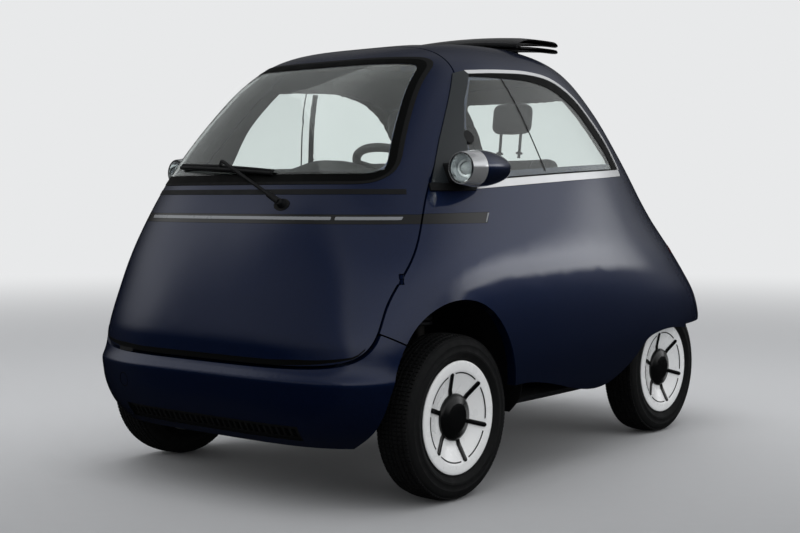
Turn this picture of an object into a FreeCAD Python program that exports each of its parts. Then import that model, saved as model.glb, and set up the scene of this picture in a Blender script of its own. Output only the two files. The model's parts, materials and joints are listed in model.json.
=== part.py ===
import FreeCAD, Part
import math
import os

os.makedirs("parts", exist_ok=True)

# Driving dimensions, millimetres and degrees.
# The car faces -Y, its left side is +X, and the ground is the plane z = 0.
LENGTH = 2519.0
HALF_LENGTH = LENGTH / 2
HALF_WIDTH = 736.5
FRONT_AXLE_Y = -780.0
REAR_AXLE_Y = 786.0
FRONT_TRACK = 1267.5
REAR_TRACK = 999.0

WALL = 34.0
GLASS = 5.0
SEAT_GAP = 0.3
PANEL_GAP = 6.0
BUMPER_GAP = 7.0
WING_GAP = 4.0
INNER_GAP = 0.8
OUTER_SKIN = 12.0

TYRE_R = 266.5
TYRE_W = 145.0
BEAD_R = 176.0
RIM_WALL = 5.0
TRIM_R = 182.0
TRIM_DISH = 18.0
TRIM_SEAT = 0.80
HUB_END = 26.0
RIM_STEP = 30.0
DISC_R = 150.0
CAP_R = 76.0
FINGERS = 6
FINGER_R1 = 148.0
FINGER_W = 13.0
SPINDLE_R = 15.0
RUNNING_FIT = 0.05
KINGPIN_X = 534.0

FLOOR_Z = 264.0
FLOOR_T = 20.0
BOOT_Z = 620.0
BOOT_END_Y = 1050.0
BUMPER_BOTTOM_Z = 192.0
TAIL_BOTTOM_Z = 447.0
LEDGE_Z = 785.0
TAIL_SEAM_Y = 838.0
ROOF_SPLIT_Z = 1432.0
GRILLE_TOP_Z = 262.0
GRILLE_BOTTOM_Z = 214.0
GRILLE_HALF_W = 405.0
GRILLE_SLOTS = 30
GRILLE_RIB = 10.0

LIGHT_BAR_Z = 896.0
LIGHT_BAR_H = 30.0
BAR_DEPTH = 10.0
REAR_BAR_Z = 752.0
REAR_BAR_H = 34.0
REAR_BAR_HALF_W = 560.0

ARCH_R = 376.0
LINER_T = 4.0
LINER_INNER_X = 404.0
LINER_BOTTOM_Z = 233.0
WELL_END_Y = -398.0

HINGE_X = 643.0
HINGE_Y = -1000.0
HINGE_Z0 = 684.0
HINGE_Z1 = 728.0
HINGE_PIN_R = 3.5
HINGE_EYE_R = 7.0
HINGE_ROOM = 1.5
LUG_REACH = 22.0
HATCH_AXIS_Z = 1448.0
HATCH_HINGES = (-180.0, 180.0)
HATCH_EYE_R = 8.0
HATCH_EYE_W = 30.0
HATCH_LUG_W = 14.0
HATCH_LUG_X = 24.0
HATCH_PIN_R = 4.0
HATCH_ROOM = 2.0
LUG_GAP = 1.0

TOW_X = -392.0
TOW_Z = 344.0
TOW_R = 8.0
TOW_DEPTH = 50.0
TOW_COVER_R = 24.0
TOW_RECESS = 10.0
PLATE_PITCH = 280.0
PLATE_HOLE_R = 3.0
PLATE_Z = 600.0

WIPER_PIVOT = (221.0, 943.0)
WIPER_ARM_END = (-114.0, 1078.0)
WIPER_BLADE = [(-352.0, 1064.0), (136.0, 1038.0)]
WIPER_R = 5.0
WIPER_BOSS_R = 13.0
WIPER_LIFT = 9.0

POD_X = 680.0
POD_Z = 1058.0
POD_Y0 = -748.0
POD_Y1 = -524.0
POD_R = 60.0
POD_CONE = 66.0
POD_TAIL_R = 36.0
LENS_R = 46.0
LENS_BULGE = 10.0
BEZEL = 4.0

STEER_X = 285.0
STEER_HUB = (-545.0, 1045.0)
STEER_FOOT = (-965.0, FLOOR_Z + FLOOR_T)
STEER_WHEEL_R = 172.0
STEER_RIM_R = 14.0
COLUMN_R = 26.0
PEDALS_X = (STEER_X - 84, STEER_X + 84)
SHAFT_R = 10.0
BOSS_R = 48.0
SPOKE_R = 11.0
DIAL_R = 62.0

SEAT_Y0 = -400.0
SEAT_Y1 = 70.0
SEAT_Z0 = 432.0
SEAT_T = 120.0
SEAT_HALF_W = 520.0
BACK_LEAN = 8.5
BACK_H = 582.0
BACK_T = 110.0
BACK_GAP = 4.0
BULKHEAD_Y = SEAT_Y1 + 14.0
HEAD_X = 265.0
HEAD_W = 168.0
HEAD_H = 124.0
HEAD_T = 78.0
HEAD_RISE = 70.0
HEAD_POSTS = 92.0
POST_R = 6.0
CUSHION_R = 35.0

BATTERY_W = 840.0
MOTOR = (380.0, 300.0, 260.0)
MOTOR_Y = REAR_AXLE_Y - 20
MOTOR_Z = TYRE_R - 50

AXLE_PIVOT = (430.0, 330.0)
REAR_STRUT = (362.0, 700.0)
REAR_STRUT_Z = TYRE_R + 48
REAR_SPRING_R = 38.0
FRONT_SPRING_R = 44.0
DAMPER_R = 18.0
BALL_DROP = 70.0
BALL_H = 26.0
HUB_REACH = 12.0
STRUT_SEAT_Z = 556.0
STRUT_TOP_R = 48.0
STRUT_TOP_Z = TYRE_R + math.sqrt(ARCH_R ** 2 - STRUT_TOP_R ** 2) - SEAT_GAP

# Outline curves of the body: height against distance, from the sill to the crown.
NOSE_Y = [(185, 1182), (212, 1203), (250, 1226), (320, 1250), (385, 1258.5), (400, HALF_LENGTH),
          (412, 1254), (442, 1241), (520, 1232), (680, 1190), (800, 1150),
          (900, 1112), (1010, 1060), (1140, 976), (1270, 866), (1370, 760), (1440, 655),
          (1482, 550), (1508, 430), (1516, 350)]
TAIL_Y = [(185, 1000), (330, 1130), (380, 1205), (450, HALF_LENGTH), (560, 1228), (680, 1160),
          (790, 1078), (900, 980), (1010, 900), (1130, 810), (1260, 705), (1360, 600), (1430, 500),
          (1472, 400), (1500, 290), (1516, 200)]
SIDE_X = [(185, 632), (262, 700), (380, 729), (500, HALF_WIDTH), (680, 724), (800, 696),
          (900, 660), (1010, 622), (1140, 578), (1270, 530), (1370, 484), (1430, 448),
          (1470, 412), (1498, 368), (1516, 320)]
WIDEST_Y = [(185, -560), (380, -620), (520, -640), (680, -620), (800, -560), (900, -470),
            (1000, -380), (1130, -300), (1260, -220), (1370, -150), (1516, -30)]
NOSE_POWER = [(185, 4.2), (380, 4.0), (520, 3.6), (700, 3.3), (1000, 3.6), (1260, 3.6), (1516, 4.0)]
TAIL_POWER = [(185, 5.0), (380, 6.0), (540, 6.0), (690, 5.0), (900, 4.2), (1130, 3.8), (1516, 3.0)]
TAIL_TAPER = [(185, 0.14), (560, 0.15), (800, 0.16), (1010, 0.14), (1260, 0.12), (1516, 0.08)]
CROWN_Z = 1516.0
WAIST_Z = 900.0
# Cutting boxes reach this far, well outside the body.
FAR_X = 900.0
FAR_Y = 1400.0
FAR_Z = 1600.0
LEVELS = (185, 212, 245, 285, 332, 368, 388, 404, 420, 446, 500, 565, 645, 745, 855, 965,
          1070, 1170, 1265, 1350, 1415, 1460, 1490, 1508, CROWN_Z)
RING_POINTS = 72

# Seams and openings, seen from the side as (y, z) or from the front as (x, z).
DOOR_SEAM = [(-520, 1580), (-492, 1462), (-489, 1400), (-549, 1318), (-686, 1145), (-822, 975),
             (-945, 787), (-1060, 629), (-1104, 535), (-1152, 476), (-1235, 445), (-1400, 434)]
WINDSCREEN = [(540, 1012), (402, 1436)]
WINDSCREEN_R = 62.0
SCREEN_LIP = 24.0
WINDOW_LIP = 26.0
GLASS_FIT = SEAT_GAP * 4
STRIP_W = 17.0
STRIP_RISE = 4.0
SIDE_WINDOW = [(-606, 1016), (-40, 1048), (478, 1072), (432, 1168), (336, 1262), (236, 1342),
               (98, 1396), (-60, 1411), (-250, 1404), (-440, 1389), (-522, 1290), (-571, 1200), (-594, 1110)]
BELT_END = 2
FRONT_TOP = 9
ARCH = [(-1097, 120), (-1092, 300), (-1060, 450), (-989, 569), (-880, 632), (-775, 643),
        (-665, 612), (-585, 545), (-525, 440), (-499, 330), (-496, 120)]
WING_SEAM = [(-1200, 609), (-1010, 503)]
SILL = [(-700, 262), (0, 272), (150, 276), (255, 312), (352, 362), (430, 415), (520, 438),
        (700, 445), (1400, TAIL_BOTTOM_Z)]
HATCH = [(440, LEDGE_Z), (345, 1460)]
HATCH_R = 70.0
REAR_GLASS = [(385, 930), (300, 1392)]
REAR_GLASS_R = 60.0
ROOF_HOLE = [(-300, -425), (300, 96)]
ROOF_HOLE_R = 50.0
CANOPY = [(30, 1526), (70, 1548), (300, 1533), (322, 1550), (318, 1574), (290, 1584), (120, 1580), (40, 1552)]
CANOPY_HALF_W = 345.0
CANOPY_CROWN = 20.0


def vec(x, y, z):
    """Vector of three numbers."""
    return FreeCAD.Vector(x, y, z)


X_AXIS = vec(1, 0, 0)
Y_AXIS = vec(0, 1, 0)
Z_AXIS = vec(0, 0, 1)


def lerp(curve, t):
    """Value at t of a curve given as rising (t, value) points, smooth between them."""
    if t <= curve[0][0]:
        (a, p), (b, q) = curve[0], curve[1]
        return p + (q - p) * (t - a) / (b - a)
    if t >= curve[-1][0]:
        (a, p), (b, q) = curve[-2], curve[-1]
        return p + (q - p) * (t - a) / (b - a)
    i = max(k for k in range(len(curve) - 1) if curve[k][0] <= t)
    (a, p), (b, q) = curve[i], curve[i + 1]
    slopes = []
    for k in (i, i + 1):
        lo = max(k - 1, 0)
        hi = min(k + 1, len(curve) - 1)
        slope = (curve[hi][1] - curve[lo][1]) / (curve[hi][0] - curve[lo][0])
        turning = (curve[hi][1] - curve[k][1]) * (curve[k][1] - curve[lo][1]) < 0
        slopes.append(0 if turning else slope)
    h = b - a
    s = (t - a) / h
    return ((2 * s ** 3 - 3 * s ** 2 + 1) * p + (s ** 3 - 2 * s ** 2 + s) * h * slopes[0]
            + (3 * s ** 2 - 2 * s ** 3) * q + (s ** 3 - s ** 2) * h * slopes[1])


def inset_curve(curve, depth):
    """An outline curve moved in along its own normal."""
    if depth == 0:
        return curve
    steps = 60
    z0, z1 = curve[0][0], curve[-1][0]
    moved = []
    for k in range(steps + 1):
        z = z0 + (z1 - z0) * k / steps
        slope = (lerp(curve, z + 2) - lerp(curve, z - 2)) / 4
        norm = math.hypot(1, slope)
        moved.append((z + depth * slope / norm, lerp(curve, z) - depth / norm))
    kept = [moved[0]]
    for point in moved[1:]:
        if point[0] > kept[-1][0] + 1:
            kept.append(point)
    return kept


def hull_ring(z, nose, tail, side):
    """Points of one level of the body, evenly spread, from the nose round the left side."""
    n_f, n_r = lerp(NOSE_POWER, z), lerp(TAIL_POWER, z)
    taper, mid = lerp(TAIL_TAPER, z), lerp(WIDEST_Y, z)
    y_f, y_r, w = -lerp(nose, z), lerp(tail, z), lerp(side, z)
    dense = []
    count = 240
    for k in range(count + 1):
        a = math.pi / 2 * k / count
        u = math.cos(a) ** (2 / n_f)
        dense.append((w * math.sin(a) ** (2 / n_f), mid + (y_f - mid) * u))
    for k in range(1, count + 1):
        a = math.pi / 2 * (1 - k / count)
        u = max(math.cos(a), 0) ** (2 / n_r)
        x = w * math.sin(a) ** (2 / n_r) * (1 - taper * u ** 1.6)
        dense.append((x, mid + (y_r - mid) * u))
    run = [0.0]
    for p, q in zip(dense, dense[1:]):
        run.append(run[-1] + math.hypot(q[0] - p[0], q[1] - p[1]))
    half = RING_POINTS // 2
    ring, j = [], 0
    for k in range(half + 1):
        target = run[-1] * k / half
        while j < len(run) - 2 and run[j + 1] < target:
            j += 1
        s = (target - run[j]) / (run[j + 1] - run[j])
        p, q = dense[j], dense[j + 1]
        ring.append((p[0] + (q[0] - p[0]) * s, p[1] + (q[1] - p[1]) * s))
    return ring + [(-x, y) for x, y in reversed(ring[1:-1])]


HULLS = {}


def hull(depth):
    """Solid of the body's outline, moved in from the outer skin by depth."""
    if depth not in HULLS:
        nose, tail, side = (inset_curve(c, depth) for c in (NOSE_Y, TAIL_Y, SIDE_X))
        levels = [LEVELS[0] - 35] if depth > 0 else []
        for z in LEVELS:
            share = max(z - WAIST_Z, 0) / (CROWN_Z - WAIST_Z)
            levels.append(z - depth * share)
        wires = []
        for z in levels:
            points = [vec(x, y, z) for x, y in hull_ring(z, nose, tail, side)]
            spline = Part.BSplineCurve()
            spline.interpolate(Points=points, PeriodicFlag=True,
                               Parameters=[i / RING_POINTS for i in range(RING_POINTS + 1)])
            wires.append(Part.Wire(spline.toShape()))
        HULLS[depth] = Part.makeLoft(wires, True, False, False)
    return HULLS[depth]


HATCH_AXIS = (lerp(TAIL_Y, HATCH_AXIS_Z) + 2, HATCH_AXIS_Z - 1)


def skin_point(x, z, depth, rear=False):
    """Point of the inset body surface at x and z, at the nose or at the tail."""
    side = inset_curve(SIDE_X, depth)
    mid = lerp(WIDEST_Y, z)
    if rear:
        y_end, power = lerp(inset_curve(TAIL_Y, depth), z), lerp(TAIL_POWER, z)
    else:
        y_end, power = -lerp(inset_curve(NOSE_Y, depth), z), lerp(NOSE_POWER, z)
    share = min(abs(x) / lerp(side, z), 1)
    return vec(x, mid + (y_end - mid) * (1 - share ** power) ** (1 / power), z)


def spline_edge(points):
    """Smooth edge through the points."""
    curve = Part.BSplineCurve()
    curve.interpolate(points)
    return curve.toShape()


def shifted(points, gap):
    """An outline's points moved to the left of their run by gap."""
    out = []
    last = len(points) - 1
    for k, (a, b) in enumerate(points):
        p, q = points[max(k - 1, 0)], points[min(k + 1, last)]
        norm = math.hypot(q[0] - p[0], q[1] - p[1])
        out.append((a - gap * (q[1] - p[1]) / norm, b + gap * (q[0] - p[0]) / norm))
    return out


def extruded(face, start, run):
    """Solid of a face moved to its start and drawn out along a run, its skin facing out."""
    face.translate(start)
    solid = face.extrude(run)
    if solid.Volume < 0:
        solid.reverse()
    return solid


def side_prism(edges, x0, x1):
    """Prism between x0 and x1 of a closed outline drawn in the plane x = 0."""
    return extruded(Part.Face(Part.Wire(edges)), vec(x0, 0, 0), vec(x1 - x0, 0, 0))


def yz(points, x=0.0):
    """Points of a side view, as vectors in the plane of that x."""
    return [vec(x, y, z) for y, z in points]


def behind(seam, corner, x0, x1):
    """Prism bounded by a smooth seam and the two straight lines to a corner point."""
    points = yz(seam)
    tip = vec(0, *corner)
    edges = [spline_edge(points), Part.makeLine(points[-1], tip), Part.makeLine(tip, points[0])]
    return side_prism(edges, x0, x1)


def box(x0, x1, y0, y1, z0, z1):
    """Box between two corners."""
    return Part.makeBox(x1 - x0, y1 - y0, z1 - z0, vec(x0, y0, z0))


def rounded_trapezoid(bottom, top, radius, inset=0.0):
    """Wire in the plane y = 0, symmetric in x, with rounded corners, moved in by inset."""
    (wb, zb), (wt, zt) = bottom, top
    lean = math.atan2(wb - wt, zt - zb)
    side_in = inset / math.cos(lean)
    rise = math.tan(lean)
    zb, zt = zb + inset, zt - inset
    wb, wt = wb - side_in - inset * rise, wt - side_in + inset * rise
    corners = [vec(-wb, 0, zb), vec(wb, 0, zb), vec(wt, 0, zt), vec(-wt, 0, zt)]
    return round_polygon(corners, max(radius - inset, 5))


def round_polygon(corners, radius):
    """Closed wire through straight sides with an arc of one radius at each corner."""
    edges = []
    count = len(corners)
    ends = []
    for k, corner in enumerate(corners):
        back = corners[k - 1] - corner
        ahead = corners[(k + 1) % count] - corner
        back_len, ahead_len = back.Length, ahead.Length
        half = back.getAngle(ahead) / 2
        reach = min(radius / math.tan(half), 0.45 * back_len, 0.45 * ahead_len)
        r = reach * math.tan(half)
        back = vec(*back).normalize()
        ahead = vec(*ahead).normalize()
        middle = vec(*(back + ahead)).normalize()
        start, stop = corner + back * reach, corner + ahead * reach
        tip = corner + middle * (r / math.sin(half) - r)
        ends.append((start, tip, stop))
    for k in range(count):
        start, tip, stop = ends[k]
        edges.append(Part.Arc(start, tip, stop).toShape())
        following = ends[(k + 1) % count][0]
        if (following - stop).Length > 0.01:
            edges.append(Part.makeLine(stop, following))
    return Part.Wire(edges)


def prism_y(wire, y0, y1):
    """Prism along y of a wire in the plane y = 0."""
    return extruded(Part.Face(wire), vec(0, y0, 0), vec(0, y1 - y0, 0))


def revolve(profile, centre, axis):
    """Solid of revolution of (radius, along) points about an axis through a centre."""
    points = [vec(r, 0, a) for r, a in profile]
    wire = Part.makePolygon(points + [points[0]])
    solid = Part.Face(wire).revolve(vec(0, 0, 0), Z_AXIS, 360)
    turn = FreeCAD.Rotation(Z_AXIS, axis)
    solid.Placement = FreeCAD.Placement(centre, turn)
    return solid


def rod(start, end, radius):
    """Round bar between two points."""
    along = end - start
    return Part.makeCylinder(radius, along.Length, start, along)


def mirrored(shape):
    """The same shape on the car's other side."""
    return shape.mirror(vec(0, 0, 0), X_AXIS)


def tidy(shape):
    """Largest solid of a shape, without the crumbs of a cut."""
    return max(shape.Solids, key=lambda solid: solid.Volume)


def export(name, *shapes):
    """Write the solids of one piece."""
    solids = []
    for shape in shapes:
        solids.extend(shape.Solids)
    whole = solids[0] if len(solids) == 1 else Part.makeCompound(solids)
    whole.exportStep(f"parts/{name}.step")
    print(name, len(solids), round(whole.Volume / 1e3), all(s.isValid() for s in solids))


# Body shell and the prisms that part it into its panels.
def body_wall():
    """Hollow shell of the whole body, one wall thick."""
    return hull(0).cut(hull(WALL))


def door_prism(gap):
    """All that lies in front of the door seam, moved back by gap."""
    return behind(shifted(DOOR_SEAM, gap), (-1700, 1580), -FAR_X, FAR_X)


def arch_prism(clearance=0.0):
    """Opening of the left front wheel arch."""
    points = yz(shifted(ARCH, clearance))
    edges = [spline_edge(points), Part.makeLine(points[-1], points[0])]
    return side_prism(edges, LINER_INNER_X + 60, FAR_X)


def bumper_prism(gap):
    """All that lies under the seam between front bumper and wing, grown by gap."""
    (y0, z0), (y1, z1) = WING_SEAM
    points = yz([(y0 - 200, z0 + gap + 200 * (z0 - z1) / (y1 - y0)), (y1 + gap, z1 + gap),
                 (y1 + gap, 100), (y0 - 200, 100)])
    return side_prism([Part.makePolygon(points + [points[0]])], -FAR_X, FAR_X)


def sill_prism():
    """All that lies under the side's lower edge."""
    points = yz(SILL)
    below = yz([(SILL[-1][0], 60), (SILL[0][0], 60)])
    edges = [spline_edge(points), Part.makeLine(points[-1], below[0]),
             Part.makeLine(below[0], below[1]), Part.makeLine(below[1], points[0])]
    return side_prism(edges, -FAR_X, FAR_X)


def hatch_prism(gap):
    """Region of the tailgate, grown by gap, behind its hinge line."""
    (wb, zb), (wt, zt) = HATCH
    wire = rounded_trapezoid((wb, zb), (wt, zt + 200), HATCH_R, -gap)
    region = prism_y(wire, 100, 1500)
    y, z = HATCH_AXIS
    nose_cut = Part.makePolygon(yz([(y - gap, z + 200), (y - gap, z - 4), (y - gap - 60, z - 130),
                                    (y - gap - 60, 500), (2000, 500), (2000, z + 200),
                                    (y - gap, z + 200)]))
    return region.common(side_prism([nose_cut], -FAR_X, FAR_X))


def side_window_prism(inset, x0, x1):
    """Prism of the side glass outline, moved in by inset."""
    ring = [SIDE_WINDOW[-1]] + SIDE_WINDOW + [SIDE_WINDOW[0]]
    inner = shifted(ring, inset)[1:-1]
    belt, rear = inner[:BELT_END + 1], inner[BELT_END:FRONT_TOP + 1]
    front = inner[FRONT_TOP:] + inner[:1]
    return side_prism([spline_edge(yz(run)) for run in (belt, rear, front)], x0, x1)


def windscreen_prism(inset):
    """Prism of the windscreen outline, moved in by inset."""
    return prism_y(rounded_trapezoid(*WINDSCREEN, WINDSCREEN_R, inset), -1500, -300)


def rear_glass_prism(inset):
    """Prism of the rear glass outline, moved in by inset."""
    return prism_y(rounded_trapezoid(*REAR_GLASS, REAR_GLASS_R, inset), 300, 1500)


def roof_hole():
    """Prism of the folding roof's opening."""
    (x0, y0), (x1, y1) = ROOF_HOLE
    corners = [vec(x0, y0, 1300), vec(x1, y0, 1300), vec(x1, y1, 1300), vec(x0, y1, 1300)]
    return extruded(Part.Face(round_polygon(corners, ROOF_HOLE_R)), vec(0, 0, 0), vec(0, 0, 400))


def light_bar_prism(gap):
    """Band of the front light bar across the door."""
    z0 = LIGHT_BAR_Z - LIGHT_BAR_H / 2 - gap
    z1 = LIGHT_BAR_Z + LIGHT_BAR_H / 2 + gap
    return box(-FAR_X, FAR_X, -1300, -600, z0, z1)


def blade_prism(gap):
    """Band of the side blade, from the door seam to its slanted rear end."""
    z0 = LIGHT_BAR_Z - LIGHT_BAR_H / 2 - gap
    z1 = LIGHT_BAR_Z + LIGHT_BAR_H / 2 + gap
    points = yz([(-1000, z0), (-588 + gap, z0), (-560 + gap, z1 + 6), (-1000, z1)])
    return side_prism([Part.makePolygon(points + [points[0]])], -FAR_X, FAR_X)


def rear_bar_prism(gap):
    """Band of the rear light bar."""
    z0 = REAR_BAR_Z - REAR_BAR_H / 2 - gap
    z1 = REAR_BAR_Z + REAR_BAR_H / 2 + gap
    reach = REAR_BAR_HALF_W + gap
    return box(-reach, reach, 860 - gap, FAR_Y, z0, z1)


def layer(shape, depth):
    """Part of a shape within depth of the outer skin."""
    return shape.common(hull(0)).cut(hull(depth))


# Front door with its glass, light bar and wiper.
def front_door(wall):
    """Door panel with its window cut and its light bar recess."""
    door = wall.common(door_prism(-PANEL_GAP / 2))
    door = door.cut(layer(windscreen_prism(0), GLASS + SEAT_GAP)).cut(windscreen_prism(SCREEN_LIP))
    door = door.cut(layer(light_bar_prism(SEAT_GAP), BAR_DEPTH + SEAT_GAP))
    door = door.cut(hinge_pocket()).cut(lug_room())
    return tidy(door.fuse(door_knuckle()))


def windscreen():
    """Curved glass seated in the door's rebate."""
    return tidy(layer(windscreen_prism(GLASS_FIT), GLASS))


def front_light_bar():
    """Dark bar across the door."""
    bar = layer(light_bar_prism(-SEAT_GAP), BAR_DEPTH)
    return tidy(bar.common(door_prism(-PANEL_GAP / 2)))


def hinge_pocket():
    """Room round the door hinge."""
    return Part.makeCylinder(HINGE_EYE_R + HINGE_ROOM, HINGE_Z1 - HINGE_Z0 + 2 * HINGE_ROOM,
                             vec(HINGE_X, HINGE_Y, HINGE_Z0 - HINGE_ROOM))


def lug_room():
    """Room in the door for the two lugs of its hinge."""
    z0, z1 = hinge_thirds()
    reach = LUG_REACH + 4
    boxes = [box(HINGE_X - reach, HINGE_X + 10, HINGE_Y - 4, HINGE_Y + reach, low, high)
             for low, high in ((HINGE_Z0 - 3, z0), (z1, HINGE_Z1 + 3))]
    return Part.makeCompound(boxes)


def eye_room():
    """Room in the side panel for the strap of the door's hinge eye."""
    z0, z1 = hinge_thirds()
    return box(HINGE_X - 17, HINGE_X + 16, HINGE_Y - 24, HINGE_Y + 2, z0 - LUG_GAP, z1 + LUG_GAP)


def hinge_thirds():
    """Heights that part the hinge into its lower lug, door eye and upper lug."""
    step = (HINGE_Z1 - HINGE_Z0) / 3
    return HINGE_Z0 + step, HINGE_Z0 + 2 * step


def door_knuckle():
    """Eye on the door that turns on the hinge pin."""
    z0, z1 = hinge_thirds()
    eye = Part.makeCylinder(HINGE_EYE_R, z1 - z0 - 2 * LUG_GAP, vec(HINGE_X, HINGE_Y, z0 + LUG_GAP))
    arm = box(HINGE_X - 46, HINGE_X - 2, HINGE_Y - 42, HINGE_Y + 2,
              z0 + LUG_GAP, z1 - LUG_GAP)
    arm = arm.common(door_prism(-PANEL_GAP / 2)).common(hull(OUTER_SKIN))
    strap = box(HINGE_X - 13, HINGE_X, HINGE_Y - 20, HINGE_Y, z0 + LUG_GAP, z1 - LUG_GAP)
    strap = strap.common(hull(0))
    hole = Part.makeCylinder(HINGE_PIN_R + RUNNING_FIT, 100, vec(HINGE_X, HINGE_Y, z0 - 20))
    return eye.fuse(arm).fuse(strap).cut(hole)


def door_lugs():
    """Pin of the front door in its two lugs on the left side."""
    z0, z1 = hinge_thirds()
    pin = Part.makeCylinder(HINGE_PIN_R, HINGE_Z1 - HINGE_Z0, vec(HINGE_X, HINGE_Y, HINGE_Z0))
    for low, high in ((HINGE_Z0, z0 - LUG_GAP), (z1 + LUG_GAP, HINGE_Z1)):
        lug = Part.makeCylinder(HINGE_EYE_R, high - low, vec(HINGE_X, HINGE_Y, low))
        arm = box(HINGE_X - LUG_REACH, HINGE_X, HINGE_Y, HINGE_Y + LUG_REACH, low, high)
        pin = pin.fuse(lug).fuse(arm.common(hull(0)))
    return pin


def door_bar():
    """Grab bar across the inside of the door."""
    bar = rod(vec(-700, -915, 930), vec(700, -915, 930), 17)
    return tidy(bar.common(hull(WALL + SEAT_GAP)))


def wiper():
    """Single arm and blade in front of the glass."""
    pivot = skin_point(*WIPER_PIVOT, 0)
    boss = rod(pivot + vec(0, 11, -3), pivot - vec(0, 22, -6), WIPER_BOSS_R)
    arm_x, arm_z = WIPER_ARM_END
    tip = skin_point(arm_x, arm_z, -20)
    arm = rod(skin_point(WIPER_PIVOT[0], WIPER_PIVOT[1] + 6, -18), tip, WIPER_R)
    (x0, z0), (x1, z1) = WIPER_BLADE
    steps = 8
    points = [skin_point(x0 + (x1 - x0) * k / steps, z0 + (z1 - z0) * k / steps, -WIPER_LIFT)
              for k in range(steps + 1)]
    blade = rod(points[0], points[1], WIPER_R)
    for a, b in zip(points[1:], points[2:]):
        blade = blade.fuse(rod(a, b, WIPER_R)).fuse(Part.makeSphere(WIPER_R, a))
    share = (arm_x - x0) / (x1 - x0)
    saddle = rod(tip, skin_point(arm_x, z0 + (z1 - z0) * share, 1 - WIPER_LIFT), WIPER_R + 1)
    whole = boss.fuse(arm).fuse(Part.makeSphere(WIPER_R, tip)).fuse(saddle).fuse(blade)
    return tidy(whole.cut(hull(-SEAT_GAP)))


# Sides, roof, bumpers and tail.
def side_panel(wall):
    """Left side: wing, pillar, quarter and roof rail, with its glass rebate and arch."""
    half = box(0, FAR_X, -FAR_Y, FAR_Y, 0, ROOF_SPLIT_Z)
    side = wall.common(half).cut(box(0, FAR_X, TAIL_SEAM_Y, FAR_Y, 0, LEDGE_Z)).cut(sill_prism())
    side = side.cut(roof_tongue(SEAT_GAP)).cut(hatch_prism(PANEL_GAP))
    side = side.cut(door_prism(PANEL_GAP / 2)).cut(bumper_prism(WING_GAP)).cut(arch_prism())
    side = tidy(side)
    side = side.cut(layer(side_window_prism(0, 0, FAR_X), GLASS + SEAT_GAP))
    side = side.cut(side_window_prism(WINDOW_LIP, 0, FAR_X))
    side = side.cut(layer(blade_prism(SEAT_GAP).common(half), BAR_DEPTH + SEAT_GAP))
    return tidy(side)


def side_window():
    """Left side glass."""
    return tidy(layer(side_window_prism(GLASS_FIT, 0, FAR_X), GLASS))


def window_trim():
    """Bright strip round the left side glass."""
    outer = side_window_prism(-STRIP_W, 0, FAR_X)
    inner = side_window_prism(-1, 0, FAR_X)
    band = outer.cut(inner).cut(door_prism(PANEL_GAP))
    return tidy(band.common(hull(-STRIP_RISE)).cut(hull(-SEAT_GAP)))


def side_blade():
    """Dark blade that carries the light bar's line onto the left wing."""
    band = blade_prism(-SEAT_GAP).common(box(0, FAR_X, -FAR_Y, FAR_Y, 0, ROOF_SPLIT_Z))
    return tidy(layer(band, BAR_DEPTH).cut(door_prism(PANEL_GAP / 2)))


def roof_tongue(gap=0.0):
    """Strip of the roof between the tailgate's top corners, under the roof split."""
    reach = HATCH[1][0] + 8 + gap
    return box(-reach, reach, 260 - gap, 700, 1330, ROOF_SPLIT_Z)


def roof_frame(wall):
    """Frame round the roof opening."""
    region = box(-FAR_X, FAR_X, -FAR_Y, FAR_Y, ROOF_SPLIT_Z, FAR_Z).fuse(roof_tongue())
    top = wall.common(region).cut(door_prism(PANEL_GAP / 2)).cut(hatch_prism(PANEL_GAP))
    top = top.cut(roof_hole())
    for x in HATCH_HINGES:
        top = top.cut(hatch_room(x, HATCH_EYE_W))
        top = top.fuse(hatch_bracket(x))
    return tidy(top)


def roof_canopy():
    """Folded fabric roof: its crowned stack behind the opening and the foot that carries it."""
    wires = []
    for share in (-1, -0.5, 0, 0.5, 1):
        rise = CANOPY_CROWN * (1 - share ** 2) - CANOPY_CROWN / 2
        curve = Part.BSplineCurve()
        curve.interpolate(Points=[vec(share * CANOPY_HALF_W, y, z + rise) for y, z in CANOPY],
                          PeriodicFlag=True)
        wires.append(Part.Wire(curve.toShape()))
    stack = Part.makeLoft(wires, True, False, False)
    foot = box(-250, 250, 110, 190, 1480, 1545)
    return tidy(stack.fuse(foot).cut(hull(-INNER_GAP)))


def front_bumper(wall):
    """Bumper under the door, between the wheel arches, open at the grille."""
    front = wall.common(box(-FAR_X, FAR_X, -FAR_Y, -900, BUMPER_BOTTOM_Z, 600))
    front = front.common(bumper_prism(0)).cut(door_prism(BUMPER_GAP))
    arch = arch_prism()
    front = front.cut(arch).cut(mirrored(arch))
    front = front.cut(box(-GRILLE_HALF_W, GRILLE_HALF_W, -FAR_Y, -1000, GRILLE_BOTTOM_Z, GRILLE_TOP_Z))
    mouth = tow_mouth()
    boss = Part.makeCylinder(TOW_R * 2, TOW_DEPTH + 3, mouth + vec(0, 2, 0), Y_AXIS)
    recess = Part.makeCylinder(TOW_COVER_R, 80, mouth, vec(0, -1, 0))
    socket = Part.makeCylinder(TOW_R, TOW_DEPTH + 80, mouth - vec(0, 80, 0), Y_AXIS)
    return tidy(front.fuse(boss).cut(recess).cut(socket))


def tow_mouth():
    """Centre of the towing eye's socket, in the flat behind its round cover."""
    return skin_point(TOW_X, TOW_Z, 0) + vec(0, TOW_RECESS, 0)


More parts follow.
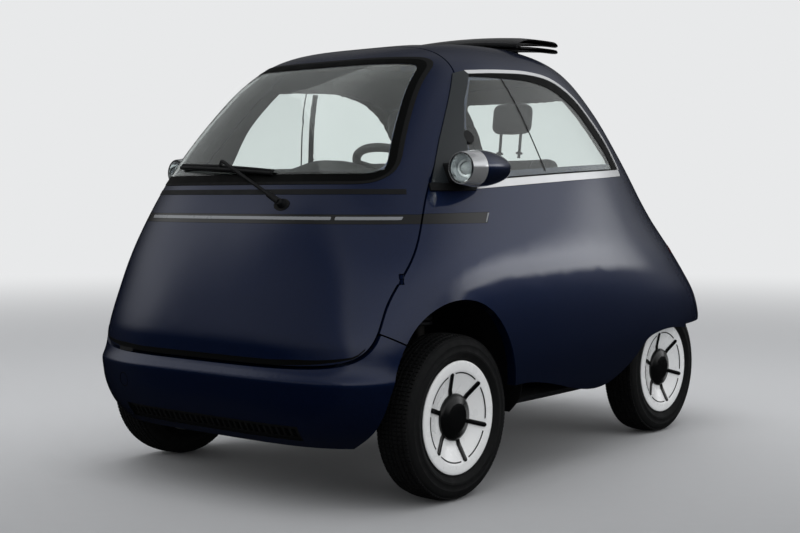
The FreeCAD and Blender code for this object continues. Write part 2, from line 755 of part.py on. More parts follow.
def lower_grille():
    """Dark grille in the bumper's mouth, with upright slots."""
    reach = GRILLE_HALF_W - SEAT_GAP
    z0, z1 = GRILLE_BOTTOM_Z + SEAT_GAP, GRILLE_TOP_Z - SEAT_GAP
    grille = layer_between(box(-reach, reach, -FAR_Y, -1000, z0, z1), 8, WALL - 8)
    pitch = 2 * (reach - GRILLE_RIB) / GRILLE_SLOTS
    slots = []
    for k in range(GRILLE_SLOTS):
        x = -reach + GRILLE_RIB + pitch * k
        slots.append(box(x, x + pitch - GRILLE_RIB, -FAR_Y, -1000, z0 + GRILLE_RIB, z1 - GRILLE_RIB))
    return tidy(grille.cut(Part.makeCompound(slots)))


def layer_between(shape, shallow, deep):
    """Part of a shape between two depths of the body."""
    return shape.common(hull(shallow)).cut(hull(deep))


def rear_bumper(wall):
    """Tail of the body, with the recess of the light bar."""
    tail = wall.common(box(-FAR_X, FAR_X, TAIL_SEAM_Y + SEAT_GAP, FAR_Y, TAIL_BOTTOM_Z, LEDGE_Z))
    tail = tail.cut(hatch_prism(PANEL_GAP))
    tail = tail.cut(layer(rear_bar_prism(SEAT_GAP), BAR_DEPTH + SEAT_GAP))
    for x in (-PLATE_PITCH / 2, PLATE_PITCH / 2):
        tail = tail.cut(Part.makeCylinder(PLATE_HOLE_R, 200, vec(x, 1100, PLATE_Z), Y_AXIS))
    return tidy(tail)


def rear_light_bar():
    """Light bar across the tail."""
    return tidy(layer(rear_bar_prism(-SEAT_GAP), BAR_DEPTH))


def rear_valance():
    """Dark panel between the rear wheels, under the tail."""
    half = REAR_TRACK / 2 - TYRE_W / 2 - 30
    panel = box(-half, half, 1000, FAR_Y, 330, TAIL_BOTTOM_Z - SEAT_GAP)
    return tidy(panel.common(hull(14)).cut(hull(WALL)))


def rear_hatch(wall):
    """Tailgate with its glass opening and two hinge eyes."""
    gate = wall.common(hatch_prism(0)).cut(box(-FAR_X, FAR_X, 0, FAR_Y, 0, LEDGE_Z + PANEL_GAP))
    gate = gate.cut(layer(rear_glass_prism(0), GLASS + SEAT_GAP)).cut(rear_glass_prism(WINDOW_LIP))
    for x in HATCH_HINGES:
        for side in (-1, 1):
            gate = gate.cut(hatch_room(x + side * HATCH_LUG_X, HATCH_LUG_W))
        gate = gate.fuse(hatch_eye(x))
        gate = gate.cut(hatch_pin(x, RUNNING_FIT))
    return tidy(gate)


def hatch_room(x, width):
    """Room round one lug or eye of the tailgate's hinges."""
    y, z = HATCH_AXIS
    half = width / 2 + HATCH_ROOM
    return Part.makeCylinder(HATCH_EYE_R + HATCH_ROOM, 2 * half, vec(x - half, y, z), X_AXIS)


def hatch_eye(x):
    """Eye of the tailgate at one hinge."""
    y, z = HATCH_AXIS
    half = HATCH_EYE_W / 2
    eye = Part.makeCylinder(HATCH_EYE_R, HATCH_EYE_W, vec(x - half, y, z), X_AXIS)
    strap = box(x - half, x + half, y, y + 40, z - 26, z - 1)
    return eye.fuse(strap.common(hull(-INNER_GAP)))


def hatch_pin(x, clearance=0.0):
    """Hinge pin of the tailgate."""
    y, z = HATCH_AXIS
    half = HATCH_LUG_X + HATCH_LUG_W / 2
    return Part.makeCylinder(HATCH_PIN_R + clearance, 2 * half, vec(x - half, y, z), X_AXIS)


def hatch_bracket(x):
    """Pin of the tailgate in its two lugs on the roof frame."""
    y, z = HATCH_AXIS
    part = hatch_pin(x)
    for side in (-1, 1):
        x0 = x + side * HATCH_LUG_X - HATCH_LUG_W / 2
        lug = Part.makeCylinder(HATCH_EYE_R, HATCH_LUG_W, vec(x0, y, z), X_AXIS)
        strap = box(x0, x0 + HATCH_LUG_W, y - 30, y, z - 8, z + 4)
        part = part.fuse(lug).fuse(strap.cut(hull(OUTER_SKIN)))
    return part


def rear_window():
    """Rear glass."""
    return tidy(layer(rear_glass_prism(GLASS_FIT), GLASS))


# Lamp pods that also carry the mirrors.
def pod_shell():
    """Bullet-shaped housing with a blunt tail, on its arm, left side."""
    length = POD_Y1 - POD_Y0
    profile = [(0, 6), (LENS_R + 0.5, 6), (LENS_R + 0.5, 0), (LENS_R + BEZEL, 0), (POD_R, POD_CONE)]
    steps = 8
    for k in range(1, steps + 1):
        s = k / steps
        profile.append((POD_R - (POD_R - POD_TAIL_R) * s ** 2.2, POD_CONE + (length - POD_CONE) * s))
    profile.append((0, length))
    shell = revolve(profile, vec(POD_X, POD_Y0, POD_Z), Y_AXIS)
    arm = box(520, POD_X - LENS_R, POD_Y0 + 26, POD_Y0 + 104, POD_Z - POD_R + 6, POD_Z + 20)
    arm = arm.makeFillet(10, arm.Edges)
    return tidy(shell.fuse(arm).cut(hull(-SEAT_GAP)))


def pod_lens():
    """Clear cover of the lamp, left side."""
    profile = [(0, 5.5), (LENS_R, 5.5), (LENS_R, -1)]
    steps = 6
    for k in range(1, steps):
        a = math.pi / 2 * k / steps
        profile.append((LENS_R * math.cos(a), -1 - LENS_BULGE * math.sin(a)))
    profile.append((0, -1 - LENS_BULGE))
    return revolve(profile, vec(POD_X, POD_Y0, POD_Z), Y_AXIS)


# Cabin floor, interior and chassis.
def floor_pan():
    """Pressed floor: cabin floor, seat bulkhead and boot floor, with the wheelhouses left out."""
    t = FLOOR_T
    z = FLOOR_Z
    outline = [(-1200, z), (BULKHEAD_Y + t, z), (BULKHEAD_Y + t, BOOT_Z), (BOOT_END_Y, BOOT_Z),
               (BOOT_END_Y, BOOT_Z + t), (BULKHEAD_Y, BOOT_Z + t), (BULKHEAD_Y, z + t), (-1200, z + t)]
    points = yz(outline, -700)
    pan = extruded(Part.Face(Part.makePolygon(points + [points[0]])), vec(0, 0, 0), X_AXIS * 1400)
    pan = pan.common(hull(WALL + INNER_GAP))
    for side in (-1, 1):
        x = side * (LINER_INNER_X - SEAT_GAP)
        well = box(min(x, side * FAR_X), max(x, side * FAR_X), -FAR_Y, WELL_END_Y, 0, BOOT_Z - 40)
        pan = pan.cut(well)
    for k in range(5):
        x = -320 + 160 * k
        groove = box(x - 22, x + 22, -900, BULKHEAD_Y - 60, z - 1, z + 6)
        pan = pan.cut(groove)
    return tidy(pan)


def arch_liner():
    """Left wheelhouse round the steered wheel."""
    centre = vec(LINER_INNER_X, FRONT_AXLE_Y, TYRE_R)
    outer = Part.makeCylinder(ARCH_R + LINER_T, 340, centre, X_AXIS)
    inner = Part.makeCylinder(ARCH_R, 340, centre + vec(LINER_T, 0, 0), X_AXIS)
    liner = outer.cut(inner).common(box(0, FAR_X, -FAR_Y, 0, LINER_BOTTOM_Z, 900))
    return tidy(liner.common(hull(WALL + INNER_GAP)).cut(door_prism(PANEL_GAP + 8)))


def seat_cushion():
    """Bench cushion with rounded edges."""
    block = box(-SEAT_HALF_W, SEAT_HALF_W, SEAT_Y0, SEAT_Y1, SEAT_Z0, SEAT_Z0 + SEAT_T)
    return block.makeFillet(CUSHION_R, block.Edges)


def back_frame(shape):
    """Tilt a shape drawn upright at the seat's rear edge."""
    shape.rotate(vec(0, SEAT_Y1 - 60, SEAT_Z0 + SEAT_T), X_AXIS, -BACK_LEAN)
    return shape


def seat_back():
    """Bench back, leaning rearwards onto the bulkhead."""
    z0 = SEAT_Z0 + SEAT_T + BACK_GAP
    block = box(-SEAT_HALF_W + 15, SEAT_HALF_W - 15, SEAT_Y1 - BACK_T, SEAT_Y1, z0, z0 + BACK_H)
    return back_frame(block.makeFillet(CUSHION_R, block.Edges))


def headrests():
    """Two head restraints on twin posts."""
    out = []
    z0 = SEAT_Z0 + SEAT_T + BACK_GAP + BACK_H
    y = SEAT_Y1 - BACK_T / 2
    for x in (-HEAD_X, HEAD_X):
        pad = box(x - HEAD_W / 2, x + HEAD_W / 2, y - HEAD_T / 2, y + HEAD_T / 2,
                  z0 + HEAD_RISE, z0 + HEAD_RISE + HEAD_H)
        pad = pad.makeFillet(HEAD_T * 0.45, pad.Edges)
        for side in (-HEAD_POSTS / 2, HEAD_POSTS / 2):
            foot = vec(x + side, y, z0 + SEAT_GAP)
            pad = pad.fuse(rod(foot, foot + Z_AXIS * (HEAD_RISE + 20), POST_R))
        out.append(back_frame(pad))
    return out


def steering_column():
    """Column tube from the floor to the wheel, with its foot and dial."""
    y0, z0 = STEER_FOOT
    y1, z1 = STEER_HUB
    foot = vec(STEER_X, y0, z0 + SEAT_GAP)
    hub = vec(STEER_X, y1, z1)
    along = (hub - foot).normalize()
    end = hub - along * 70
    tube = rod(foot + along * 4, end, COLUMN_R)
    plate = box(STEER_X - 36, STEER_X + 36, y0 - 60, y0 + 60, z0 + SEAT_GAP, z0 + 12)
    dial = rod(end - along * 60 + vec(0, -55, 45), end - along * 20 + vec(0, -38, 62), DIAL_R)
    bore = rod(end - along * 60, end + along * 20, SHAFT_R + RUNNING_FIT)
    column = tube.fuse(plate).fuse(dial).cut(bore)
    return tidy(column.cut(box(-FAR_X, FAR_X, -FAR_Y, 0, 0, z0 + SEAT_GAP)))


def steering_axis():
    """Unit vector along the column, from the floor to the driver."""
    y0, z0 = STEER_FOOT
    y1, z1 = STEER_HUB
    return vec(0, y1 - y0, z1 - z0 - SEAT_GAP).normalize()


def steering_wheel():
    """Rim, three spokes, boss and shaft."""
    axis = steering_axis()
    hub = vec(STEER_X, *STEER_HUB)
    wheel = Part.makeTorus(STEER_WHEEL_R, STEER_RIM_R, hub, axis)
    boss = Part.makeCylinder(BOSS_R, 34, hub - axis * 30, axis)
    shaft = rod(hub - axis * 125, hub - axis * 5, SHAFT_R)
    wheel = wheel.fuse(boss).fuse(shaft)
    up = vec(0, -axis.z, axis.y)
    for angle in (90, -30, 210):
        a = math.radians(angle)
        out = X_AXIS * -math.cos(a) + up * -math.sin(a)
        wheel = wheel.fuse(rod(hub - axis * 14 + out * 40, hub + out * STEER_WHEEL_R, SPOKE_R))
    return tidy(wheel)


def pedals():
    """Brake and accelerator on a floor bracket."""
    out = []
    z = FLOOR_Z + FLOOR_T + SEAT_GAP
    for x in PEDALS_X:
        base = box(x - 22, x + 22, -1010, -940, z, z + 10)
        arm = rod(vec(x, -985, z + 5), vec(x, -1000, z + 110), 7)
        pad = box(x - 32, x + 32, -1004, -994, z + 70, z + 150)
        out.append(tidy(base.fuse(arm).fuse(pad)))
    return out


def battery():
    """Traction battery under the bench."""
    z = FLOOR_Z + FLOOR_T + SEAT_GAP
    return box(-BATTERY_W / 2, BATTERY_W / 2, SEAT_Y0 + 30, SEAT_Y1 - 10, z, SEAT_Z0 - SEAT_GAP)


def drive_unit():
    """Motor and gearbox between the rear wheels."""
    w, depth, height = (size / 2 for size in MOTOR)
    return box(-w, w, MOTOR_Y - depth, MOTOR_Y + depth, MOTOR_Z, MOTOR_Z + 2 * height)


def rear_axle():
    """Subframe under the boot floor, trailing arms and stub axles."""
    y, z = REAR_AXLE_Y, TYRE_R
    x_hub = REAR_TRACK / 2
    pivot_y, pivot_z = AXLE_PIVOT
    frame = rod(vec(-380, pivot_y, pivot_z), vec(380, pivot_y, pivot_z), 26)
    for side in (-1, 1):
        stub = rod(vec(side * (x_hub - 90), y, z), vec(side * (x_hub + HUB_REACH), y, z), SPINDLE_R)
        collar = rod(vec(side * (x_hub - 140), y, z), vec(side * (x_hub - 84), y, z), 42)
        arm = rod(vec(side * (x_hub - 112), y, z), vec(side * 330, pivot_y, pivot_z), 24)
        leg = box(min(side * 300, side * 340), max(side * 300, side * 340), pivot_y - 25, pivot_y + 25,
                  pivot_z, BOOT_Z - SEAT_GAP)
        shaft = rod(vec(side * (MOTOR[0] / 2 + SEAT_GAP), y, z), vec(side * (x_hub - 90), y, z), 17)
        frame = frame.fuse(stub).fuse(collar).fuse(arm).fuse(leg).fuse(shaft)
        seat = Part.makeCylinder(26, REAR_STRUT_Z - z - 14 - SEAT_GAP,
                                 vec(side * REAR_STRUT[0], REAR_STRUT[1], z + 14))
        frame = frame.fuse(seat)
    cradle = box(-300, 300, pivot_y, MOTOR_Y - MOTOR[1] / 2 - SEAT_GAP, pivot_z - 14, pivot_z + 14)
    return tidy(frame.fuse(cradle).cut(drive_unit_room()))


def drive_unit_room():
    """Space of the drive unit with its seat gap."""
    w, depth, height = (size / 2 + SEAT_GAP for size in MOTOR)
    z = MOTOR_Z - SEAT_GAP
    return box(-w, w, MOTOR_Y - depth, MOTOR_Y + depth, z, z + 2 * height)


def strut(bottom, top, spring_r):
    """Damper with its spring as one ribbed sleeve between two plates."""
    along = top - bottom
    length = along.Length
    turns = 7
    wire = 9
    z0, z1 = length * 0.42, length - 10
    profile = [(0, 0), (DAMPER_R, 0), (DAMPER_R, z0)]
    pitch = (z1 - z0) / turns
    for k in range(turns):
        z = z0 + pitch * k
        profile += [(spring_r, z + pitch * 0.15), (spring_r, z + pitch * 0.55)]
        profile += [(spring_r - wire, z + pitch * 0.7), (spring_r - wire, z + pitch)]
    profile += [(spring_r + 4, z1), (spring_r + 4, length), (0, length)]
    return revolve(profile, bottom, vec(*along).normalize())


def suspension_struts():
    """Front spring legs above the knuckles and rear struts on the arms."""
    out = []
    for side in (-1, 1):
        top = vec(side * KINGPIN_X, FRONT_AXLE_Y, STRUT_TOP_Z)
        low = vec(side * KINGPIN_X, FRONT_AXLE_Y, STRUT_SEAT_Z)
        out.append(strut_spring(low, top))
        x, y = side * REAR_STRUT[0], REAR_STRUT[1]
        out.append(strut(vec(x, y, REAR_STRUT_Z), vec(x, y, BOOT_Z - SEAT_GAP), REAR_SPRING_R))
    return out


def strut_spring(low, top):
    """Front spring with its top mount and the damper's rod."""
    length = top.z - low.z
    plate = 8
    inner, outer = FRONT_SPRING_R - 8, FRONT_SPRING_R
    profile = [(0, 0), (outer, 0), (outer, plate)]
    turns = 3
    pitch = (length - 2 * plate) / turns
    for k in range(turns):
        z = plate + pitch * k
        profile += [(inner, z + pitch * 0.1), (outer, z + pitch * 0.35)]
        profile += [(outer, z + pitch * 0.65), (inner, z + pitch * 0.9)]
    profile += [(STRUT_TOP_R, length - plate), (STRUT_TOP_R, length), (0, length)]
    return revolve(profile, low, Z_AXIS)


def knuckle():
    """Left knuckle: damper leg, hub carrier, spindle and steering arm."""
    y, z = FRONT_AXLE_Y, TYRE_R
    x_hub = FRONT_TRACK / 2
    leg = rod(vec(KINGPIN_X, y, z - BALL_DROP), vec(KINGPIN_X, y, STRUT_SEAT_Z - SEAT_GAP), 19)
    spindle = rod(vec(KINGPIN_X, y, z), vec(x_hub + HUB_REACH, y, z), SPINDLE_R)
    carrier = rod(vec(KINGPIN_X - 30, y, z), vec(x_hub - 62, y, z), 40)
    arm = rod(vec(KINGPIN_X, y, z - 30), vec(KINGPIN_X - 22, y + 110, z - 30), 13)
    return tidy(leg.fuse(spindle).fuse(carrier).fuse(arm))


def front_axle():
    """Subframe with the lower arms and the steering rack."""
    y, z = FRONT_AXLE_Y, TYRE_R
    frame = box(-330, 330, y - 30, y + 30, z - 62, FLOOR_Z - SEAT_GAP)
    for side in (-1, 1):
        ball = vec(side * KINGPIN_X, y, z - BALL_DROP - BALL_H)
        arm = rod(vec(side * 300, y, z - 40), ball, 15)
        link = rod(vec(side * 300, y + 130, z - 40), ball, 12)
        seat = Part.makeCylinder(20, BALL_H - SEAT_GAP, ball)
        frame = frame.fuse(arm).fuse(link).fuse(seat)
    tie = box(-330, 330, y + 100, y + 160, z - 55, FLOOR_Z - SEAT_GAP)
    spine = box(-60, 60, y, y + 130, z - 55, FLOOR_Z - SEAT_GAP)
    return tidy(frame.fuse(tie).fuse(spine))


# Wheels.
def tyre(centre):
    """Tyre with bulged sides and round shoulders."""
    w = TYRE_W / 2
    profile = [(BEAD_R, -w * 0.74), (BEAD_R + 12, -w * 0.86), (BEAD_R + 34, -w), (BEAD_R + 56, -w * 0.97),
               (TYRE_R - 12, -w * 0.86), (TYRE_R - 3.5, -w * 0.72), (TYRE_R, -w * 0.5)]
    profile += [(r, -a) for r, a in reversed(profile)]
    return revolve(profile, centre, X_AXIS)


def rim(centre, side):
    """Steel rim with its disc, hub and bore."""
    w = TYRE_W / 2
    r = BEAD_R - SEAT_GAP
    t = RIM_WALL
    bore = SPINDLE_R + RUNNING_FIT
    out = [(bore, -58), (42, -58), (42, 4), (90, 18), (DISC_R - 10, 10), (DISC_R, -6),
           (r - RIM_STEP, -10), (r - RIM_STEP, -w * 0.45), (r - t - 6, -w * 0.6), (r - t - 6, -w * 0.74),
           (r, -w * 0.74), (r, -w * 0.6), (r - 24, -w * 0.5),
           (r - 24, w * 0.5), (r, w * 0.6), (r, w * TRIM_SEAT),
           (r - t - 3, w * TRIM_SEAT), (r - t - 3, w * 0.60), (r - RIM_STEP, w * 0.44), (DISC_R, 4), (DISC_R - 10, 22), (90, 30), (30, HUB_END), (bore, HUB_END)]
    return revolve(out, centre, X_AXIS * side)


def trim_disc(centre, side):
    """Dished trim with six finger slots round a domed cap."""
    base = TYRE_W / 2 * TRIM_SEAT + SEAT_GAP
    dish = base - TRIM_DISH
    axis = X_AXIS * side
    disc = revolve([(34, dish - 6), (CAP_R + 14, dish - 4), (FINGER_R1 + 2, base + 1), (TRIM_R - 6, base),
                    (TRIM_R, base + 3), (TRIM_R - 5, base + 8), (FINGER_R1 + 4, base + 7),
                    (CAP_R + 16, dish + 3), (CAP_R - 2, dish + 1), (34, dish)], centre, axis)
    cutters = []
    seat = FreeCAD.Placement(centre, FreeCAD.Rotation(Z_AXIS, axis))
    for k in range(FINGERS):
        slot = box(-FINGER_W / 2, FINGER_W / 2, CAP_R + 2, FINGER_R1 - 4, -50, 150)
        slot.rotate(vec(0, 0, 0), Z_AXIS, 360 / FINGERS * k)
        slot.Placement = seat.multiply(slot.Placement)
        cutters.append(slot)
    disc = disc.cut(Part.makeCompound(cutters))
    foot = HUB_END + SEAT_GAP
    cap = revolve([(0, foot), (28, foot), (33, dish - 6), (CAP_R, dish + 1.5),
                   (CAP_R, dish + 7), (CAP_R - 10, dish + 14), (CAP_R - 36, dish + 19), (0, dish + 21)],
                  centre, axis)
    return tidy(disc.fuse(cap))


def main():
    """Build every piece and write its file."""
    wall = body_wall()
    export("front_door", front_door(wall))
    export("windscreen", windscreen())
    export("front_light_bar", front_light_bar())
    export("wiper", wiper())
    export("door_bar", door_bar())
    left = side_panel(wall)
    right = mirrored(left)
    room = hinge_pocket()
    export("side_panel_left", tidy(left.cut(room).cut(eye_room()).fuse(door_lugs())))
    export("side_panel_right", right)
    glass = side_window()
    export("side_windows", glass, mirrored(glass))
    strip = window_trim()
    export("window_trims", strip, mirrored(strip))
    blade = side_blade()
    export("side_blades", blade, mirrored(blade))
    export("roof_frame", roof_frame(wall))
    export("roof_canopy", roof_canopy())
    export("front_bumper", front_bumper(wall))
    export("lower_grille", lower_grille())
    export("rear_bumper", rear_bumper(wall))
    export("rear_light_bar", rear_light_bar())
    export("rear_valance", rear_valance())
    export("rear_hatch", rear_hatch(wall))
    export("rear_window", rear_window())
    pod, lens = pod_shell(), pod_lens()
    export("lamp_pods", pod, mirrored(pod))
    export("lamp_lenses", lens, mirrored(lens))
    export("floor_pan", floor_pan())
    liner = arch_liner()
    export("arch_liners", liner, mirrored(liner))
    export("seat_cushion", seat_cushion())
    export("seat_back", seat_back())
    export("headrests", *headrests())
    export("steering_column", steering_column())
    export("steering_wheel", steering_wheel())
    export("pedals", *pedals())
    export("battery", battery())
    export("drive_unit", drive_unit())
    export("rear_axle", rear_axle())
    export("suspension_struts", *suspension_struts())
    export("front_axle", front_axle())
    left_knuckle = knuckle()
    export("knuckle_left", left_knuckle)
    export("knuckle_right", mirrored(left_knuckle))
    for name, x, y in (("front_left", FRONT_TRACK / 2, FRONT_AXLE_Y),
                       ("front_right", -FRONT_TRACK / 2, FRONT_AXLE_Y),
                       ("rear_left", REAR_TRACK / 2, REAR_AXLE_Y),
                       ("rear_right", -REAR_TRACK / 2, REAR_AXLE_Y)):
        centre = vec(x, y, TYRE_R)
        side = 1 if x > 0 else -1
        export(f"tyre_{name}", tyre(centre))
        export(f"rim_{name}", rim(centre, side), trim_disc(centre, side))


main()
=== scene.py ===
import json
import logging
import math
from collections.abc import Callable, Iterable, Sequence
from dataclasses import dataclass, field
from enum import Enum

import bpy
import numpy as np
from mathutils import Matrix, Vector
from mathutils.bvhtree import BVHTree

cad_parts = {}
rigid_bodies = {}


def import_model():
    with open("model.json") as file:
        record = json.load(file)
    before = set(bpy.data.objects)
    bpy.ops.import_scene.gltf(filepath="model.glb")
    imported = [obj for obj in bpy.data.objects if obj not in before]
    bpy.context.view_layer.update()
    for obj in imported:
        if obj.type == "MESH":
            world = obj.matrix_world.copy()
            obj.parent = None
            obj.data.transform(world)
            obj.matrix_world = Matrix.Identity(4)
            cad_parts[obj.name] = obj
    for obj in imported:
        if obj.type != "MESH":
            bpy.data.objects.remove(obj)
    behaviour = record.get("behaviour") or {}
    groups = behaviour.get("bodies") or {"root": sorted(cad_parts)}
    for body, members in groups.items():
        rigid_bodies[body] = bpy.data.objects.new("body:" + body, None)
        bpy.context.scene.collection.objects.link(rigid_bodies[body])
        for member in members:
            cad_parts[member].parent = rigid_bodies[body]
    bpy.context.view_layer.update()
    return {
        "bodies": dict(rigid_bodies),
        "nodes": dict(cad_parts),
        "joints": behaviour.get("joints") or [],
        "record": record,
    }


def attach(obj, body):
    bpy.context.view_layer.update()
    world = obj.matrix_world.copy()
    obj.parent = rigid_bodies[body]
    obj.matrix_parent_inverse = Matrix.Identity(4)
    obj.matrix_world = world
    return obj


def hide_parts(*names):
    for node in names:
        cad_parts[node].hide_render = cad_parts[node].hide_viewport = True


LOG = logging.getLogger("bubble_car")
MM = 0.001
BACKGROUND = "#e8e9ea"
Point2 = tuple[float, float]
Point3 = tuple[float, float, float]


class View(Enum):
    """Direction from which an outline is drawn on the body's skin."""

    FRONT = "front"
    REAR = "rear"
    LEFT = "left"
    RIGHT = "right"


# Materials.


def linear(code: str) -> tuple[float, float, float, float]:
    """Linear colour of an sRGB hex code.

    Args:
        code: Colour as "#rrggbb".

    Returns:
        The colour's linear red, green and blue, and an alpha of 1.
    """
    parts = [int(code[i:i + 2], 16) / 255 for i in (1, 3, 5)]
    r, g, b = (c / 12.92 if c <= 0.04045 else ((c + 0.055) / 1.055) ** 2.4 for c in parts)
    return r, g, b, 1.0


def add_node(tree: bpy.types.NodeTree, kind: str, settings: dict | None = None,
             inputs: dict | None = None) -> bpy.types.Node:
    """Add a node with its settings, values and links.

    Args:
        tree: Node tree that gets the node.
        kind: Type name of the node.
        settings: Properties of the node by name.
        inputs: Input sockets by name or index, each given a value or the socket linked to it.

    Returns:
        The new node.
    """
    made = tree.nodes.new(kind)
    for key, value in (settings or {}).items():
        setattr(made, key, value)
    for key, value in (inputs or {}).items():
        if isinstance(value, bpy.types.NodeSocket):
            tree.links.new(value, made.inputs[key])
        else:
            made.inputs[key].default_value = value
    return made


@dataclass(frozen=True)
class Finish:
    """A surface finish: a real material, and how its surface was made.

    The mottle is a soft change of colour over the surface. The grain is a fine bump. Both sizes
    are real sizes in millimetres.
    """

    name: str
    colour: str
    roughness: float = 0.5
    metallic: float = 0.0
    specular: float = 0.5
    coat: float = 0.0
    coat_roughness: float = 0.03
    transmission: float = 0.0
    ior: float = 1.5
    sheen: float = 0.0
    emission: float = 0.0
    mottle: float = 0.12
    mottle_mm: float = 60.0
    grain: float = 0.05
    grain_mm: float = 3.0
    grain_stretch: Point3 = (1.0, 1.0, 1.0)
    grain_depth: float = 0.3
    roughness_swing: float = 0.12

    def pattern(self, tree: bpy.types.NodeTree, place: bpy.types.NodeSocket,
                ) -> tuple[bpy.types.NodeSocket, bpy.types.NodeSocket]:
        """Make the surface's own pattern.

        Args:
            tree: The material's node tree.
            place: Coordinates of the surface.

        Returns:
            Height of the fine grain and tint of the mottle, both from 0 to 1.
        """
        stretched = add_node(tree, "ShaderNodeMapping", inputs={
            "Vector": place, "Scale": self.grain_stretch})
        grain = add_node(tree, "ShaderNodeTexNoise", inputs={
            "Vector": stretched.outputs[0], "Scale": 1000 / self.grain_mm, "Detail": 3.0})
        mottle = add_node(tree, "ShaderNodeTexNoise", inputs={
            "Vector": place, "Scale": 1000 / self.mottle_mm, "Detail": 4.0})
        return grain.outputs[0], mottle.outputs[0]

    def material(self) -> bpy.types.Material:
        """Make the finish as a Blender material, once.

        Returns:
            The material.
        """
        made = bpy.data.materials.get(self.name)
        if made:
            return made
        made = bpy.data.materials.new(self.name)
        made.use_nodes = True
        tree = made.node_tree
        tree.nodes.clear()
        place = add_node(tree, "ShaderNodeTexCoord").outputs["Object"]
        height, tint = self.pattern(tree, place)
        base = linear(self.colour)
        low = tuple(c * (1 - self.mottle) for c in base[:3]) + (1.0,)
        high = tuple(min(c * (1 + self.mottle), 1) for c in base[:3]) + (1.0,)
        ramp = add_node(tree, "ShaderNodeMix", {"data_type": "RGBA"},
                        {"Factor": tint, "A": low, "B": high})
        rough = add_node(tree, "ShaderNodeMapRange", inputs={
            "Value": tint, "From Min": 0.3, "From Max": 0.7,
            "To Min": self.roughness * (1 - self.roughness_swing),
            "To Max": min(self.roughness * (1 + self.roughness_swing), 1)})
        bump = add_node(tree, "ShaderNodeBump", inputs={
            "Height": height, "Strength": self.grain, "Distance": self.grain_mm * MM * self.grain_depth})
        shader = add_node(tree, "ShaderNodeBsdfPrincipled", inputs={
            "Base Color": ramp.outputs["Result"], "Roughness": rough.outputs[0],
            "Metallic": self.metallic, "IOR": self.ior, "Normal": bump.outputs[0],
            "Specular IOR Level": self.specular, "Coat Weight": self.coat,
            "Coat Roughness": self.coat_roughness, "Transmission Weight": self.transmission,
            "Sheen Weight": self.sheen, "Sheen Roughness": 0.4})
        if self.emission:
            shader.inputs["Emission Color"].default_value = base
            shader.inputs["Emission Strength"].default_value = self.emission
        add_node(tree, "ShaderNodeOutputMaterial", inputs={"Surface": shader.outputs[0]})
        return made


@dataclass(frozen=True)
class Woven(Finish):
    """Cloth of crossing threads, whose spacing is in millimetres."""

    thread_mm: float = 3.0

    def pattern(self, tree: bpy.types.NodeTree, place: bpy.types.NodeSocket,
                ) -> tuple[bpy.types.NodeSocket, bpy.types.NodeSocket]:
        """Make threads over and under each other, seen as two crossed waves.

        Args:
            tree: The material's node tree.
            place: Coordinates of the surface.

        Returns:
            Height of the threads and tint of the cloth, both from 0 to 1.
        """
        waves = []
        for turn in (0.0, math.pi / 2):
            turned = add_node(tree, "ShaderNodeMapping", inputs={
                "Vector": place, "Rotation": (turn, turn, turn + 0.4)})
            waves.append(add_node(tree, "ShaderNodeTexWave", {"wave_profile": "SIN"}, {
                "Vector": turned.outputs[0], "Scale": 1000 / self.thread_mm / 6.28 * 2,
                "Distortion": 0.6, "Detail": 1.0}).outputs["Fac"])
        both = add_node(tree, "ShaderNodeMath", {"operation": "MAXIMUM"}, {0: waves[0], 1: waves[1]})
        mottle = add_node(tree, "ShaderNodeTexNoise", inputs={
            "Vector": place, "Scale": 1000 / self.mottle_mm, "Detail": 5.0})
        return both.outputs[0], mottle.outputs[0]


@dataclass(frozen=True)
class Flake(Finish):
    """Metallic car paint: a base coat with flakes under a clear coat."""

    flake_mm: float = 1.2

    def pattern(self, tree: bpy.types.NodeTree, place: bpy.types.NodeSocket,
                ) -> tuple[bpy.types.NodeSocket, bpy.types.NodeSocket]:
        """Make the clear coat's orange peel and the single flakes under it.

        Args:
            tree: The material's node tree.
            place: Coordinates of the surface.

        Returns:
            Height of the peel and tint of the flakes, both from 0 to 1.
        """
        peel = add_node(tree, "ShaderNodeTexNoise", inputs={
            "Vector": place, "Scale": 1000 / self.grain_mm, "Detail": 1.0})
        flakes = add_node(tree, "ShaderNodeTexVoronoi", inputs={
            "Vector": place, "Scale": 1000 / self.flake_mm})
        value = add_node(tree, "ShaderNodeSeparateColor", inputs={0: flakes.outputs["Color"]})
        return peel.outputs[0], value.outputs[0]


